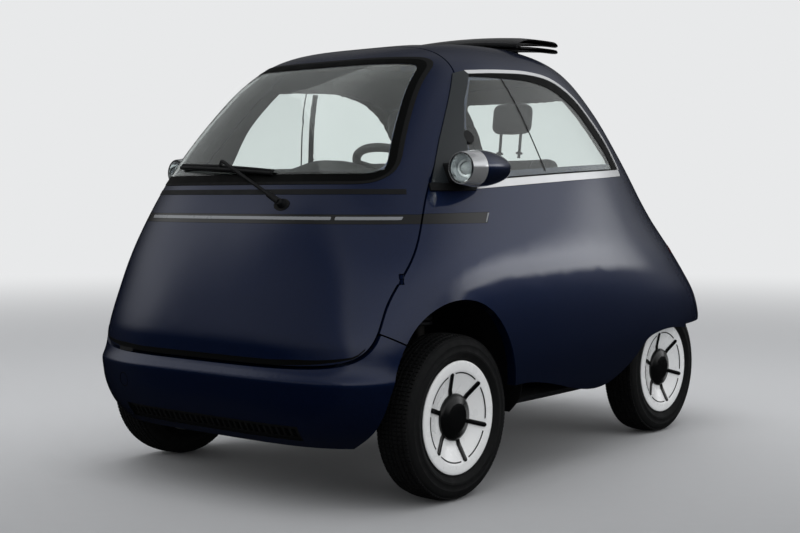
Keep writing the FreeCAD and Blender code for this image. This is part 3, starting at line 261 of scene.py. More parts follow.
@dataclass(frozen=True)
class Panel(Flake):
    """Car paint on a body panel whose side to the cabin is covered with dull trim."""

    inner: str = "#1f2325"
    inner_roughness: float = 0.8
    middle: Point3 = (0.0, -0.05, 0.78)
    looks_in: float = -0.3

    def material(self) -> bpy.types.Material:
        """Make the paint, with the trim where a face looks towards the middle of the cabin.

        Returns:
            The material.
        """
        made = bpy.data.materials.get(self.name)
        if made:
            return made
        made = super().material()
        tree = made.node_tree
        shader = next(n for n in tree.nodes if n.type == "BSDF_PRINCIPLED")
        shape = add_node(tree, "ShaderNodeNewGeometry")
        arm = add_node(tree, "ShaderNodeVectorMath", {"operation": "SUBTRACT"},
                       {0: shape.outputs["Position"], 1: self.middle})
        arm = add_node(tree, "ShaderNodeVectorMath", {"operation": "NORMALIZE"}, {0: arm.outputs[0]})
        looks = add_node(tree, "ShaderNodeVectorMath", {"operation": "DOT_PRODUCT"},
                         {0: shape.outputs["Normal"], 1: arm.outputs[0]})
        inside = add_node(tree, "ShaderNodeMath", {"operation": "LESS_THAN"},
                          {0: looks.outputs["Value"], 1: self.looks_in})
        trim = (("Base Color", "RGBA", linear(self.inner)), ("Roughness", "FLOAT", self.inner_roughness),
                ("Coat Weight", "FLOAT", 0.0))
        for name, kind, value in trim:
            socket = shader.inputs[name]
            mixed = add_node(tree, "ShaderNodeMix", {"data_type": kind},
                             {"Factor": inside.outputs[0], "B": value})
            if socket.is_linked:
                tree.links.new(socket.links[0].from_socket, mixed.inputs["A"])
            else:
                mixed.inputs["A"].default_value = socket.default_value
            tree.links.new(mixed.outputs["Result"], socket)
        return made


@dataclass(frozen=True)
class Backdrop(Finish):
    """Floor whose colour pales with the distance from the middle, with painted shade that darkens it towards
    the camera.
    """

    # Painted shade: the darker colour that the floor takes towards the camera, along front over the reach.
    near: str = "#949597"
    front: Point3 = (0.64, -0.77, 0.0)
    reach: Point2 = (-1.0, 3.2)
    fade: Point2 = (3.4, 13.0)

    def material(self) -> bpy.types.Material:
        """Make the floor's colour, darkened towards the camera by painted shade and fading into the
        background far away.

        Returns:
            The material.
        """
        made = super().material()
        tree = made.node_tree
        shader = next(n for n in tree.nodes if n.type == "BSDF_PRINCIPLED")
        place = add_node(tree, "ShaderNodeTexCoord").outputs["Object"]
        along = add_node(tree, "ShaderNodeVectorMath", {"operation": "DOT_PRODUCT"},
                         {0: place, 1: self.front})
        length = add_node(tree, "ShaderNodeVectorMath", {"operation": "LENGTH"}, {0: place})
        spans = ((along.outputs["Value"], self.reach), (length.outputs["Value"], self.fade))
        shares = [add_node(tree, "ShaderNodeMapRange", {"interpolation_type": "SMOOTHSTEP"}, {
            "Value": value, "From Min": low, "From Max": high}).outputs[0] for value, (low, high) in spans]
        # Painted shade: the floor's colour mixed towards the darker near colour on the camera's side.
        mixed = add_node(tree, "ShaderNodeMix", {"data_type": "RGBA"}, {
            "Factor": shares[0], "A": shader.inputs["Base Color"].links[0].from_socket,
            "B": linear(self.near)})
        tree.links.new(mixed.outputs["Result"], shader.inputs["Base Color"])
        seen = add_node(tree, "ShaderNodeMath", {"operation": "MULTIPLY"}, {
            0: shares[1], 1: add_node(tree, "ShaderNodeLightPath").outputs["Is Camera Ray"]})
        glow = add_node(tree, "ShaderNodeEmission", inputs={"Color": linear(BACKGROUND), "Strength": 1.0})
        whole = add_node(tree, "ShaderNodeMixShader", inputs={
            0: seen.outputs[0], 1: shader.outputs[0], 2: glow.outputs[0]})
        end = next(n for n in tree.nodes if n.type == "OUTPUT_MATERIAL")
        tree.links.new(whole.outputs[0], end.inputs["Surface"])
        return made


# Metallic navy base coat under polished clear coat: a deep colour with soft, clear reflections.
NAVY = Flake("navy_metallic_clearcoat", "#0d2046", roughness=0.42, metallic=0.85, specular=0.3, coat=1.0,
             coat_roughness=0.04, mottle=0.2, grain=0.01, grain_mm=12.0)
# The same paint on body panels, with pressed felt trim on their inner side.
NAVY_PANEL = Panel("navy_panel_with_felt_back", NAVY.colour, roughness=NAVY.roughness, metallic=NAVY.metallic,
                   specular=NAVY.specular, coat=NAVY.coat, coat_roughness=NAVY.coat_roughness,
                   mottle=NAVY.mottle, grain=NAVY.grain, grain_mm=NAVY.grain_mm)
# Laminated float glass, nearly colourless: shows the pale room behind and a thin mirror of it.
CLEAR_GLASS = Finish("laminated_clear_glass", "#f4faf8", roughness=0.0, transmission=1.0, ior=1.45,
                     mottle=0.01, grain=0.0)
# Satin chrome-plated strip, drawn along its length: bright with a soft edge to its reflections.
SATIN_CHROME = Finish("satin_chrome_strip", "#f2f3f5", roughness=0.2, metallic=0.48, mottle=0.05,
                      grain=0.03, grain_mm=2.0, grain_stretch=(1.0, 0.1, 1.0))
# Polished chrome plate of the lamp cones: clear, bright reflections.
POLISHED_CHROME = Finish("polished_chrome_plate", "#f1f3f5", roughness=0.13, metallic=0.8, mottle=0.03,
                         grain=0.0)
# Polished black acrylic, as on the light bars: deep black with a clear reflection.
PIANO_BLACK = Finish("gloss_black_acrylic", "#060708", roughness=0.12, specular=0.5, coat=0.3, mottle=0.1,
                     grain=0.0)
# Black ceramic print on the glass, and black adhesive film: dull and even.
BLACK_PRINT = Finish("black_ceramic_print", "#040505", roughness=0.5, specular=0.1, mottle=0.1, grain=0.0)
# Moulded black polyamide of the wheel caps: smooth with a dull shine.
CAP_BLACK = Finish("black_moulded_polyamide", "#060708", roughness=0.24, specular=0.4, mottle=0.1, grain=0.05)
# Moulded black ABS with a fine eroded grain: dark grey-black, no mirror.
GRAINED_BLACK = Finish("grained_black_abs", "#0e0f11", roughness=0.55, specular=0.35, mottle=0.15,
                       grain=0.25, grain_mm=2.2)
# Smooth grey-black foil over the pillar behind the door.
PILLAR_FOIL = Finish("grey_pillar_foil", "#23282b", roughness=0.4, specular=0.5, mottle=0.08, grain=0.05)
# Tyre rubber: carbon black, slightly browned and dull where it was moulded.
TYRE_RUBBER = Finish("vulcanised_tyre_rubber", "#0e0f10", roughness=0.72, specular=0.3, mottle=0.25,
                     mottle_mm=25.0, grain=0.3, grain_mm=1.6)
# Injection-moulded white trim with a lacquer: bright, softly reflecting.
WHITE_TRIM = Finish("white_lacquered_abs", "#f7f8f8", roughness=0.28, specular=0.5, coat=0.4, mottle=0.01,
                    grain=0.03, grain_mm=5.0)
# Coated canvas of a folding roof: matte black with a visible weave, drawn coarser than real so that it shows.
ROOF_CANVAS = Woven("coated_roof_canvas", "#131416", roughness=0.85, specular=0.25, sheen=0.15,
                    mottle=0.25, mottle_mm=90.0, grain=0.35, grain_mm=3.0, thread_mm=3.0)
# Woven upholstery, dark anthracite with a soft nap, its threads drawn coarser than real so that they show.
SEAT_CLOTH = Woven("anthracite_upholstery", "#202225", roughness=0.9, specular=0.2, sheen=0.3, mottle=0.2,
                   mottle_mm=40.0, grain=0.5, grain_mm=4.0, thread_mm=4.0)
# Electro-coated chassis steel: satin black with a faint orange peel.
CHASSIS_STEEL = Finish("e_coated_steel", "#1b1c1f", roughness=0.45, metallic=0.3, mottle=0.2, grain=0.15,
                       grain_mm=6.0)
# The same steel on the floor pan, with needled carpet on its cabin side.
FLOOR_STEEL = Panel("e_coated_floor_with_carpet", "#1b1c1f", roughness=0.45, metallic=0.3, mottle=0.2,
                    grain=0.1, grain_mm=6.0, inner="#121315")
# Silver-painted steel rim behind the trim.
RIM_STEEL = Finish("silver_painted_rim_steel", "#8c8f93", roughness=0.4, metallic=0.7, mottle=0.08,
                   grain=0.05)
# Silvered film over the diodes of the light bar: grey, softly shining.
SILVER_STRIP = Finish("silvered_diode_strip", "#8f9296", roughness=0.3, metallic=0.35, coat=0.5, mottle=0.04,
                      grain=0.02)
# Sand-cast iron with its rough skin.
CAST_IRON = Finish("sand_cast_iron", "#3a3937", roughness=0.6, metallic=0.8, mottle=0.3, mottle_mm=15.0,
                   grain=0.6, grain_mm=2.5)
# Die-cast aluminium housing: pale grey, finely pitted.
CAST_ALLOY = Finish("die_cast_aluminium", "#9b9da0", roughness=0.42, metallic=1.0, mottle=0.12,
                    mottle_mm=30.0, grain=0.3, grain_mm=2.0)
# Anodised aluminium tube, brushed along its length.
BRUSHED_ALLOY = Finish("brushed_anodised_tube", "#b4b6b9", roughness=0.32, metallic=1.0, mottle=0.08,
                       grain=0.25, grain_mm=1.5, grain_stretch=(0.05, 1.0, 1.0))
# Moulded red acrylic of the rear light.
RED_LENS = Finish("moulded_red_acrylic", "#6d060b", roughness=0.1, specular=0.5, coat=0.8, mottle=0.15,
                  mottle_mm=12.0, grain=0.2, grain_mm=8.0)
# Opal acrylic over unlit diodes: milky white.
OPAL = Finish("opal_diffuser_acrylic", "#d9dcdf", roughness=0.25, coat=0.6, mottle=0.04, grain=0.05,
              grain_mm=6.0)
# Vapour-coated reflector bowl.
REFLECTOR = Finish("vapour_coated_reflector", "#e2e4e6", roughness=0.08, metallic=1.0, mottle=0.03,
                   grain=0.0)
# Silvered mirror glass.
MIRROR = Finish("silvered_mirror", "#dde1e3", roughness=0.02, metallic=1.0, mottle=0.01, grain=0.0)
# Soft-touch leather of the steering wheel's rim.
RIM_LEATHER = Finish("grained_rim_leather", "#151516", roughness=0.5, specular=0.35, mottle=0.15,
                     grain=0.5, grain_mm=3.0)


# The body's skin.


@dataclass
class Skin:
    """The body's outer form, from the same outline curves as the solids, in millimetres."""

    nose: Sequence[Point2] = ((185, 1182), (212, 1203), (250, 1226), (320, 1250), (385, 1258.5),
                              (400, 1259.5), (412, 1254), (442, 1241), (520, 1232), (680, 1190),
                              (800, 1150), (900, 1112), (1010, 1060), (1140, 976), (1270, 866),
                              (1370, 760), (1440, 655), (1482, 550), (1508, 430), (1516, 350))
    tail: Sequence[Point2] = ((185, 1000), (330, 1130), (380, 1205), (450, 1259.5), (560, 1228), (680, 1160),
                              (790, 1078), (900, 980), (1010, 900), (1130, 810), (1260, 705), (1360, 600),
                              (1430, 500), (1472, 400), (1500, 290), (1516, 200))
    side: Sequence[Point2] = ((185, 632), (262, 700), (380, 729), (500, 736.5), (680, 724), (800, 696),
                              (900, 660), (1010, 622), (1140, 578), (1270, 530), (1370, 484), (1430, 448),
                              (1470, 412), (1498, 368), (1516, 320))
    widest: Sequence[Point2] = ((185, -560), (380, -620), (520, -640), (680, -620), (800, -560), (900, -470),
                                (1000, -380), (1130, -300), (1260, -220), (1370, -150), (1516, -30))
    nose_power: Sequence[Point2] = ((185, 4.2), (380, 4.0), (520, 3.6), (700, 3.3), (1000, 3.6), (1260, 3.6),
                                    (1516, 4.0))
    tail_power: Sequence[Point2] = ((185, 5.0), (380, 6.0), (540, 6.0), (690, 5.0), (900, 4.2), (1130, 3.8),
                                    (1516, 3.0))
    taper: Sequence[Point2] = ((185, 0.14), (560, 0.15), (800, 0.16), (1010, 0.14), (1260, 0.12),
                               (1516, 0.08))
    knots: Sequence[float] = (185, 212, 245, 285, 332, 368, 388, 404, 420, 446, 500, 565, 645, 745, 855, 965,
                              1070, 1170, 1265, 1350, 1415, 1460, 1490, 1508, 1516)
    around: int = 288
    between: int = 6
    tree: BVHTree = field(init=False)
    normals: list[Vector] = field(init=False)
    faces: list[tuple[int, ...]] = field(init=False)
    points: list[Vector] = field(init=False)

    @staticmethod
    def at(curve: Sequence[Point2], t: float) -> float:
        """Value of an outline curve, smooth between its points.

        Args:
            curve: Points of height and value.
            t: Height at which the value is wanted.

        Returns:
            The value.
        """
        last = len(curve) - 1
        i = min(max(sum(1 for p in curve if p[0] <= t) - 1, 0), last - 1)
        (a, p), (b, q) = curve[i], curve[i + 1]
        if not a <= t <= b:
            return p + (q - p) * (t - a) / (b - a)
        slopes = []
        for k in (i, i + 1):
            lo, hi = max(k - 1, 0), min(k + 1, last)
            turning = (curve[hi][1] - curve[k][1]) * (curve[k][1] - curve[lo][1]) < 0
            slopes.append(0.0 if turning
                          else (curve[hi][1] - curve[lo][1]) / (curve[hi][0] - curve[lo][0]))
        h, s = b - a, (t - a) / (b - a)
        return ((2 * s ** 3 - 3 * s ** 2 + 1) * p + (s ** 3 - 2 * s ** 2 + s) * h * slopes[0]
                + (3 * s ** 2 - 2 * s ** 3) * q + (s ** 3 - s ** 2) * h * slopes[1])

    def ring(self, z: float) -> np.ndarray:
        """Evenly spread points of the level z, from the nose round the left side.

        Args:
            z: Height in millimetres.

        Returns:
            Array of x and y, one row a point.
        """
        n_f, n_r = self.at(self.nose_power, z), self.at(self.tail_power, z)
        taper, mid = self.at(self.taper, z), self.at(self.widest, z)
        y_f, y_r, w = -self.at(self.nose, z), self.at(self.tail, z), self.at(self.side, z)
        a = np.linspace(0, math.pi / 2, 241)
        front = np.stack([w * np.sin(a) ** (2 / n_f), mid + (y_f - mid) * np.cos(a) ** (2 / n_f)], 1)
        b = a[::-1][1:]
        u = np.clip(np.cos(b), 0, 1) ** (2 / n_r)
        rear = np.stack([w * np.sin(b) ** (2 / n_r) * (1 - taper * u ** 1.6), mid + (y_r - mid) * u], 1)
        dense = np.concatenate([front, rear])
        run = np.concatenate([[0], np.cumsum(np.linalg.norm(np.diff(dense, axis=0), axis=1))])
        want = np.linspace(0, run[-1], self.around // 2 + 1)
        half = np.stack([np.interp(want, run, dense[:, k]) for k in (0, 1)], 1)
        return np.concatenate([half, half[1:-1][::-1] * [-1, 1]])

    def __post_init__(self) -> None:
        """Work out the surface once, for every piece that lies on it."""
        heights = [a + (b - a) * k / self.between for a, b in zip(self.knots, self.knots[1:])
                   for k in range(self.between)] + [self.knots[-1]]
        self.points = [Vector((x * MM, y * MM, z * MM)) for z in heights for x, y in self.ring(z)]
        n = self.around
        self.faces = [(r * n + k, r * n + (k + 1) % n, (r + 1) * n + (k + 1) % n, (r + 1) * n + k)
                      for r in range(len(heights) - 1) for k in range(n)]
        top = (len(heights) - 1) * n
        self.points.append(Vector((0, sum(p.y for p in self.points[top:]) / n, heights[-1] * MM)))
        self.faces += [(top + k, top + (k + 1) % n, len(self.points) - 1) for k in range(n)]
        self.normals = [Vector() for _ in self.points]
        for f in self.faces:
            a, b, c = (self.points[i] for i in (f[0], f[1], f[-1]))
            facing = (b - a).cross(c - a)
            for i in f:
                self.normals[i] += facing
        for k, facing in enumerate(self.normals):
            self.normals[k] = facing.normalized()
        self.tree = BVHTree.FromPolygons(self.points, self.faces)

    def smooth_normal(self, place: Vector, index: int) -> Vector:
        """Normal at a place on one of the surface's faces, blended from its corners.

        Args:
            place: The place in metres.
            index: The face's number.

        Returns:
            The unit normal.
        """
        total = Vector()
        for i in self.faces[index]:
            total += self.normals[i] / max((self.points[i] - place).length, 1e-5)
        return total.normalized()

    def nearest(self, place: Vector) -> tuple[Vector, Vector, float]:
        """Find the closest point of the skin.

        Args:
            place: A place in metres.

        Returns:
            The point, its normal, and the depth of the place under it.
        """
        hit, _, index, _ = self.tree.find_nearest(place)
        facing = self.smooth_normal(hit, index)
        return hit, facing, (hit - place).dot(facing)

    def drop(self, u: float, v: float, view: View, depth: float = 0.0) -> Vector:
        """Point of the skin under a point of an outline, set in by a depth.

        Args:
            u: First coordinate of the outline: x, or y in a side view, in metres.
            v: Second coordinate, z, in metres.
            view: Direction in which the outline is drawn.
            depth: Distance under the skin in metres, less than 0 for proud of it.

        Returns:
            The point in metres.
        """
        start, run = {
            View.FRONT: (Vector((u, -3, v)), Vector((0, 1, 0))),
            View.REAR: (Vector((u, 3, v)), Vector((0, -1, 0))),
            View.LEFT: (Vector((3, u, v)), Vector((-1, 0, 0))),
            View.RIGHT: (Vector((-3, u, v)), Vector((1, 0, 0))),
        }[view]
        hit, _, index, _ = self.tree.ray_cast(start, run)
        if hit is None:
            hit, _, index, _ = self.tree.find_nearest(start + run * 2.4)
        return hit - self.smooth_normal(hit, index) * depth


# Making pieces.


def deselect() -> None:
    """Leave edit mode and deselect every object."""
    if bpy.context.object and bpy.context.object.mode != "OBJECT":
        bpy.ops.object.mode_set(mode="OBJECT")
    bpy.ops.object.select_all(action="DESELECT")


def choose(piece: bpy.types.Object) -> None:
    """Make a piece the only selected and active object.

    Args:
        piece: The object.
    """
    deselect()
    piece.select_set(True)
    bpy.context.view_layer.objects.active = piece


def edit(piece: bpy.types.Object, steps: Callable[[], object],
         test: Callable[[Vector, Vector], bool] | None = None) -> None:
    """Run edit-mode steps on a piece.

    Args:
        piece: The mesh object.
        steps: What is done in edit mode.
        test: Chooses faces by their centre and normal; without it the whole piece is selected.
    """
    choose(piece)
    bpy.ops.object.mode_set(mode="EDIT")
    bpy.ops.mesh.select_mode(type="FACE" if test else "VERT")
    bpy.ops.mesh.select_all(action="DESELECT" if test else "SELECT")
    if test:
        bpy.ops.object.mode_set(mode="OBJECT")
        for face in piece.data.polygons:
            face.select = test(face.center, face.normal)
        bpy.ops.object.mode_set(mode="EDIT")
    steps()
    bpy.ops.object.mode_set(mode="OBJECT")


def placed(piece: bpy.types.Object, centre: Point3, axis: Point3 = (0, 0, 1),
           turn: float = 0.0) -> bpy.types.Object:
    """Move a mesh made about the z axis onto another axis.

    Args:
        piece: The mesh object.
        centre: Where its zero goes, in millimetres.
        axis: Direction that its z axis takes.
        turn: Degrees by which it is turned about that axis.

    Returns:
        The same object.
    """
    lean = Vector((0, 0, 1)).rotation_difference(Vector(axis)).to_matrix().to_4x4()
    roll = Matrix.Rotation(math.radians(turn), 4, "Z")
    piece.data.transform(Matrix.Translation(Vector(centre) * MM) @ lean @ roll)
    return piece


def modify(piece: bpy.types.Object, kind: str, **settings: object) -> None:
    """Add a modifier with its settings and apply it.

    Args:
        piece: The mesh object.
        kind: Type name of the modifier.
        **settings: Its properties by name.
    """
    choose(piece)
    made = piece.modifiers.new(kind.lower(), kind)
    for key, value in settings.items():
        setattr(made, key, value)
    bpy.ops.object.modifier_apply(modifier=made.name)


def smooth(piece: bpy.types.Object, degrees: float = 32.0) -> None:
    """Shade a piece smooth up to an edge angle."""
    choose(piece)
    bpy.ops.object.shade_smooth_by_angle(angle=math.radians(degrees))


def place_in_mesh(piece: bpy.types.Object) -> None:
    """Bring a piece's place into its mesh, so that its object sits at the origin."""
    choose(piece)
    bpy.ops.object.transform_apply(location=True, rotation=True, scale=True)


def dress(piece: bpy.types.Object, name: str, finish: Finish, body: str,
          replaces: Iterable[str] = ()) -> bpy.types.Object:
    """Name a piece, give it its finish and let it ride on its body.

    Args:
        piece: The finished mesh object.
        name: Name of the piece.
        finish: Its finish, unless it has materials of its own.
        body: CAD body that it moves with.
        replaces: CAD nodes that it stands for.

    Returns:
        The same object.
    """
    place_in_mesh(piece)
    piece.name = name
    piece.data.name = name
    if not piece.data.materials:
        piece.data.materials.append(finish.material())
    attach(piece, body)
    replaces = list(replaces)
    if replaces:
        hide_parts(*replaces)
    LOG.info("%s, in %s, rides on %s", name, finish.name, body)
    return piece


def outline_mesh(points: Sequence[Sequence[float]], fill: bool = False) -> bpy.types.Object:
    """Make a closed outline from a circle whose points are moved to their places.

    Args:
        points: The outline's points in metres.
        fill: Whether a face fills it.

    Returns:
        The flat mesh.
    """
    deselect()
    bpy.ops.mesh.primitive_circle_add(vertices=len(points), radius=1.0,
                                      fill_type="NGON" if fill else "NOTHING")
    made = bpy.context.object
    for vertex, place in zip(made.data.vertices, points):
        vertex.co = place
    return made


def turned(profile: Sequence[Point2], centre: Point3 = (0, 0, 0), axis: Point3 = (0, 0, 1),
           steps: int = 72, degrees: float = 32.0) -> bpy.types.Object:
    """Solid turned from a closed profile, as on a lathe.

    Args:
        profile: Points of radius and distance along the axis, in millimetres.
        centre: Place of the profile's zero, in millimetres.
        axis: Direction of the axis.
        steps: Sides of the full turn.
        degrees: Edge angle up to which it is shaded smooth.

    Returns:
        The solid.
    """
    made = outline_mesh([(r * MM, 0, a * MM) for r, a in profile])

    def spin() -> None:
        """Spin the outline, then close the surface and turn it outwards."""
        bpy.ops.mesh.spin(steps=steps, angle=2 * math.pi, center=(0, 0, 0), axis=(0, 0, 1))
        bpy.ops.mesh.select_all(action="SELECT")
        bpy.ops.mesh.remove_doubles(threshold=2e-6)
        bpy.ops.mesh.normals_make_consistent(inside=False)
    edit(made, spin)
    placed(made, centre, axis)
    smooth(made, degrees)
    return made


def tube(points: Sequence[Point3], radius: float, smooth_line: bool = True,
         sides: int = 6) -> bpy.types.Object:
    """Make a round bar along a line.

    Args:
        points: The line's points in millimetres.
        radius: The bar's radius in millimetres.
        smooth_line: Whether the line bends softly instead of at its points.
        sides: Faces in a quarter of the bar's girth, less one.

    Returns:
        The bar.
    """
    deselect()
    curve = bpy.data.curves.new("line", "CURVE")
    curve.dimensions = "3D"
    curve.bevel_depth = radius * MM
    curve.bevel_resolution = sides
    curve.resolution_u = 12
    curve.use_fill_caps = True
    line = curve.splines.new("NURBS" if smooth_line else "POLY")
    line.points.add(len(points) - 1)
    for spot, place in zip(line.points, points):
        spot.co = (*(c * MM for c in place), 1)
    if smooth_line:
        line.order_u = 4
        line.use_endpoint_u = True
    made = bpy.data.objects.new("line", curve)
    bpy.context.collection.objects.link(made)
    choose(made)
    bpy.ops.object.convert(target="MESH")
    made = bpy.context.object
    smooth(made)
    return made


def rounded_block(low: Point3, high: Point3, radius: float, segments: int = 4) -> bpy.types.Object:
    """Make a block with all its edges rounded.

    Args:
        low: Its corner with the lowest coordinates, in millimetres.
        high: Its opposite corner.
        radius: Radius of its edges.
        segments: Faces across each rounded edge.

    Returns:
        The block.
    """
    deselect()
    bpy.ops.mesh.primitive_cube_add(size=1)
    made = bpy.context.object
    size = [(b - a) * MM for a, b in zip(low, high)]
    middle = [(a + b) / 2 * MM for a, b in zip(low, high)]
    made.data.transform(Matrix.Translation(middle) @ Matrix.Diagonal((*size, 1)))
    edit(made, lambda: bpy.ops.mesh.bevel(offset=radius * MM, segments=segments, affect="EDGES"))
    smooth(made)
    return made


def tinted(piece: bpy.types.Object, finish: Finish) -> bpy.types.Object:
    """Give a mesh its finish before it is joined to others.

    Args:
        piece: The mesh object.
        finish: Its finish.

    Returns:
        The same object.
    """
    piece.data.materials.clear()
    piece.data.materials.append(finish.material())
    return piece


def joined(pieces: Sequence[bpy.types.Object]) -> bpy.types.Object:
    """Join several meshes into one piece.

    Args:
        pieces: The mesh objects.

    Returns:
        The first of them, which now holds them all.
    """
    deselect()
    for piece in pieces:
        piece.select_set(True)
    bpy.context.view_layer.objects.active = pieces[0]
    bpy.ops.object.join()
    return bpy.context.object


def mirrored(piece: bpy.types.Object) -> bpy.types.Object:
    """Copy a piece to the car's other side, facing out.

    Args:
        piece: The mesh object.

    Returns:
        The copy.
    """
    made = piece.copy()
    made.data = piece.data.copy()
    made.parent = None
    bpy.context.collection.objects.link(made)
    made.data.transform(Matrix.Diagonal((-1, 1, 1, 1)))
    made.data.flip_normals()
    return made


def spline(points: Sequence[Point2], per: int) -> list[Point2]:
    """Draw a smooth line through points.

    Args:
        points: The points that it goes through.
        per: Steps from one of them to the next.

    Returns:
        The line's points.
    """
    out: list[Point2] = []
    last = len(points) - 1
    for i in range(last):
        p0, p1, p2, p3 = points[max(i - 1, 0)], points[i], points[i + 1], points[min(i + 2, last)]
        for k in range(per):
            t = k / per
            out.append(tuple(
                0.5 * (2 * b + (c - a) * t + (2 * a - 5 * b + 4 * c - d) * t * t
                       + (3 * b - a - 3 * c + d) * t ** 3) for a, b, c, d in zip(p0, p1, p2, p3)))
    out.append(tuple(points[-1]))
    return out


def rounded(corners: Sequence[Point2], radius: float, per: int = 6) -> list[Point2]:
    """Round the corners of a closed outline.

    Args:
        corners: Its corners.
        radius: Radius of the corners, in the same unit.
        per: Steps in each rounded corner.

    Returns:
        The outline's points.
    """
    out: list[Point2] = []
    count = len(corners)
    for k, corner in enumerate(corners):
        here = Vector(corner)
        back = Vector(corners[k - 1]) - here
        ahead = Vector(corners[(k + 1) % count]) - here
        half = back.angle(ahead) / 2
        reach = min(radius / math.tan(half), 0.45 * back.length, 0.45 * ahead.length)
        start, stop = here + back.normalized() * reach, here + ahead.normalized() * reach
        for j in range(per + 1):
            t = j / per
            out.append(tuple(start.lerp(here, t).lerp(here.lerp(stop, t), t)))
    return out


def even(points: Sequence[Point2], count: int) -> list[Point2]:
    """Spread points evenly along a closed outline.

    Args:
        points: The outline.
        count: How many points are wanted.

    Returns:
        The new points.
    """
    ring = np.array([*points, points[0]], dtype=float)
    run = np.concatenate([[0], np.cumsum(np.linalg.norm(np.diff(ring, axis=0), axis=1))])
    want = np.linspace(0, run[-1], count, endpoint=False)
    return [(float(np.interp(t, run, ring[:, 0])), float(np.interp(t, run, ring[:, 1]))) for t in want]


def inset(points: Sequence[Point2], distance: float | Callable[[float, float], float],
          closed: bool = True) -> list[Point2]:
    """An outline moved inwards, or an open line moved to the left of its run.

    Args:
        points: The outline or line.
        distance: How far, or a function that gives it for a point of the outline.
        closed: Whether the last point joins the first.

    Returns:
        As many points as were given.
    """
    count = len(points)
    area = sum(p[0] * q[1] - q[0] * p[1] for p, q in zip(points, [*points[1:], points[0]]))
    sign = math.copysign(1, area) if closed else 1
    out = []
    for k, (u, v) in enumerate(points):
        a = points[k - 1] if closed or k else points[0]
        b = points[(k + 1) % count] if closed or k + 1 < count else points[k]
        run = math.dist(a, b)
        d = distance(u, v) if callable(distance) else distance
        out.append((u - sign * d * (b[1] - a[1]) / run, v + sign * d * (b[0] - a[0]) / run))
    return out


def lay(skin: Skin, made: bpy.types.Object, view: View, depth: float,
        thickness: float) -> bpy.types.Object:
    """Drop a flat mesh onto the body's skin and give it its thickness.

    Args:
        skin: The body's surface.
        made: Flat mesh whose x and y are the outline's coordinates in metres.
        view: Direction in which it is drawn.
        depth: Depth of its outer face under the skin, in millimetres.
        thickness: Its thickness, in millimetres.

    Returns:
        The same object.
    """
    for vertex in made.data.vertices:
        vertex.co = skin.drop(vertex.co.x, vertex.co.y, view, depth * MM)
    made.data.update()
    turned_in = 0.0
    for face in made.data.polygons:
        _, facing, _ = skin.nearest(face.center)
        turned_in += face.normal.dot(facing) * face.area
    if turned_in < 0:
        made.data.flip_normals()
    modify(made, "SOLIDIFY", thickness=thickness * MM, offset=-1.0)
    smooth(made)
    return made


def skin_patch(skin: Skin, outline: Sequence[Point2], view: View, depth: float, thickness: float,
               step: float = 14.0) -> bpy.types.Object:
    """Plate that lies on or under the body's skin inside an outline.

    Args:
        skin: The body's surface.
        outline: Closed outline in millimetres, as seen in the view.
        view: Direction in which the outline is drawn.
        depth: Depth of the plate's outer face under the skin, in millimetres.
        thickness: Its thickness, in millimetres.
        step: Distance between the cuts that let it bend.

    Returns:
        The plate.
    """
    made = outline_mesh([(u * MM, v * MM, 0) for u, v in outline], fill=True)

    def steps() -> None:
        """Cut the face into strips both ways, then into triangles."""
        for axis in (0, 1):
            low, high = min(p[axis] for p in outline), max(p[axis] for p in outline)
            count = max(int((high - low) / step), 1)
            for k in range(1, count):
                at = (low + (high - low) * k / count) * MM
                bpy.ops.mesh.select_all(action="SELECT")
                bpy.ops.mesh.bisect(plane_co=(at, at, 0), plane_no=(1 - axis, axis, 0))
        bpy.ops.mesh.select_all(action="SELECT")
        bpy.ops.mesh.quads_convert_to_tris()
    edit(made, steps)
    return lay(skin, made, view, depth, thickness)


def skin_band(skin: Skin, outer: Sequence[Point2], inner: Sequence[Point2], view: View, depth: float,
              thickness: float, closed: bool = True, rows: int = 4) -> bpy.types.Object:
    """Band on the body's skin between two lines of as many points.

    Args:
        skin: The body's surface.
        outer: One edge of the band in millimetres, as seen in the view.
        inner: Its other edge.
        view: Direction in which the edges are drawn.
        depth: Depth of the band's outer face under the skin, in millimetres.
        thickness: Its thickness, in millimetres.
        closed: Whether the band is a ring.
        rows: Faces across the band.

    Returns:
        The band.
    """
    columns = len(outer) + (1 if closed else 0)
    deselect()
    bpy.ops.mesh.primitive_grid_add(x_subdivisions=columns - 1, y_subdivisions=rows)
    made = bpy.context.object
    for k, vertex in enumerate(made.data.vertices):
        share, column = (k // columns) / rows, k % columns % len(outer)
        (u0, v0), (u1, v1) = outer[column], inner[column]
        vertex.co = ((u0 + (u1 - u0) * share) * MM, (v0 + (v1 - v0) * share) * MM, 0)
    edit(made, lambda: bpy.ops.mesh.remove_doubles(threshold=1e-6))
    return lay(skin, made, view, depth, thickness)


# Room, lights and camera.


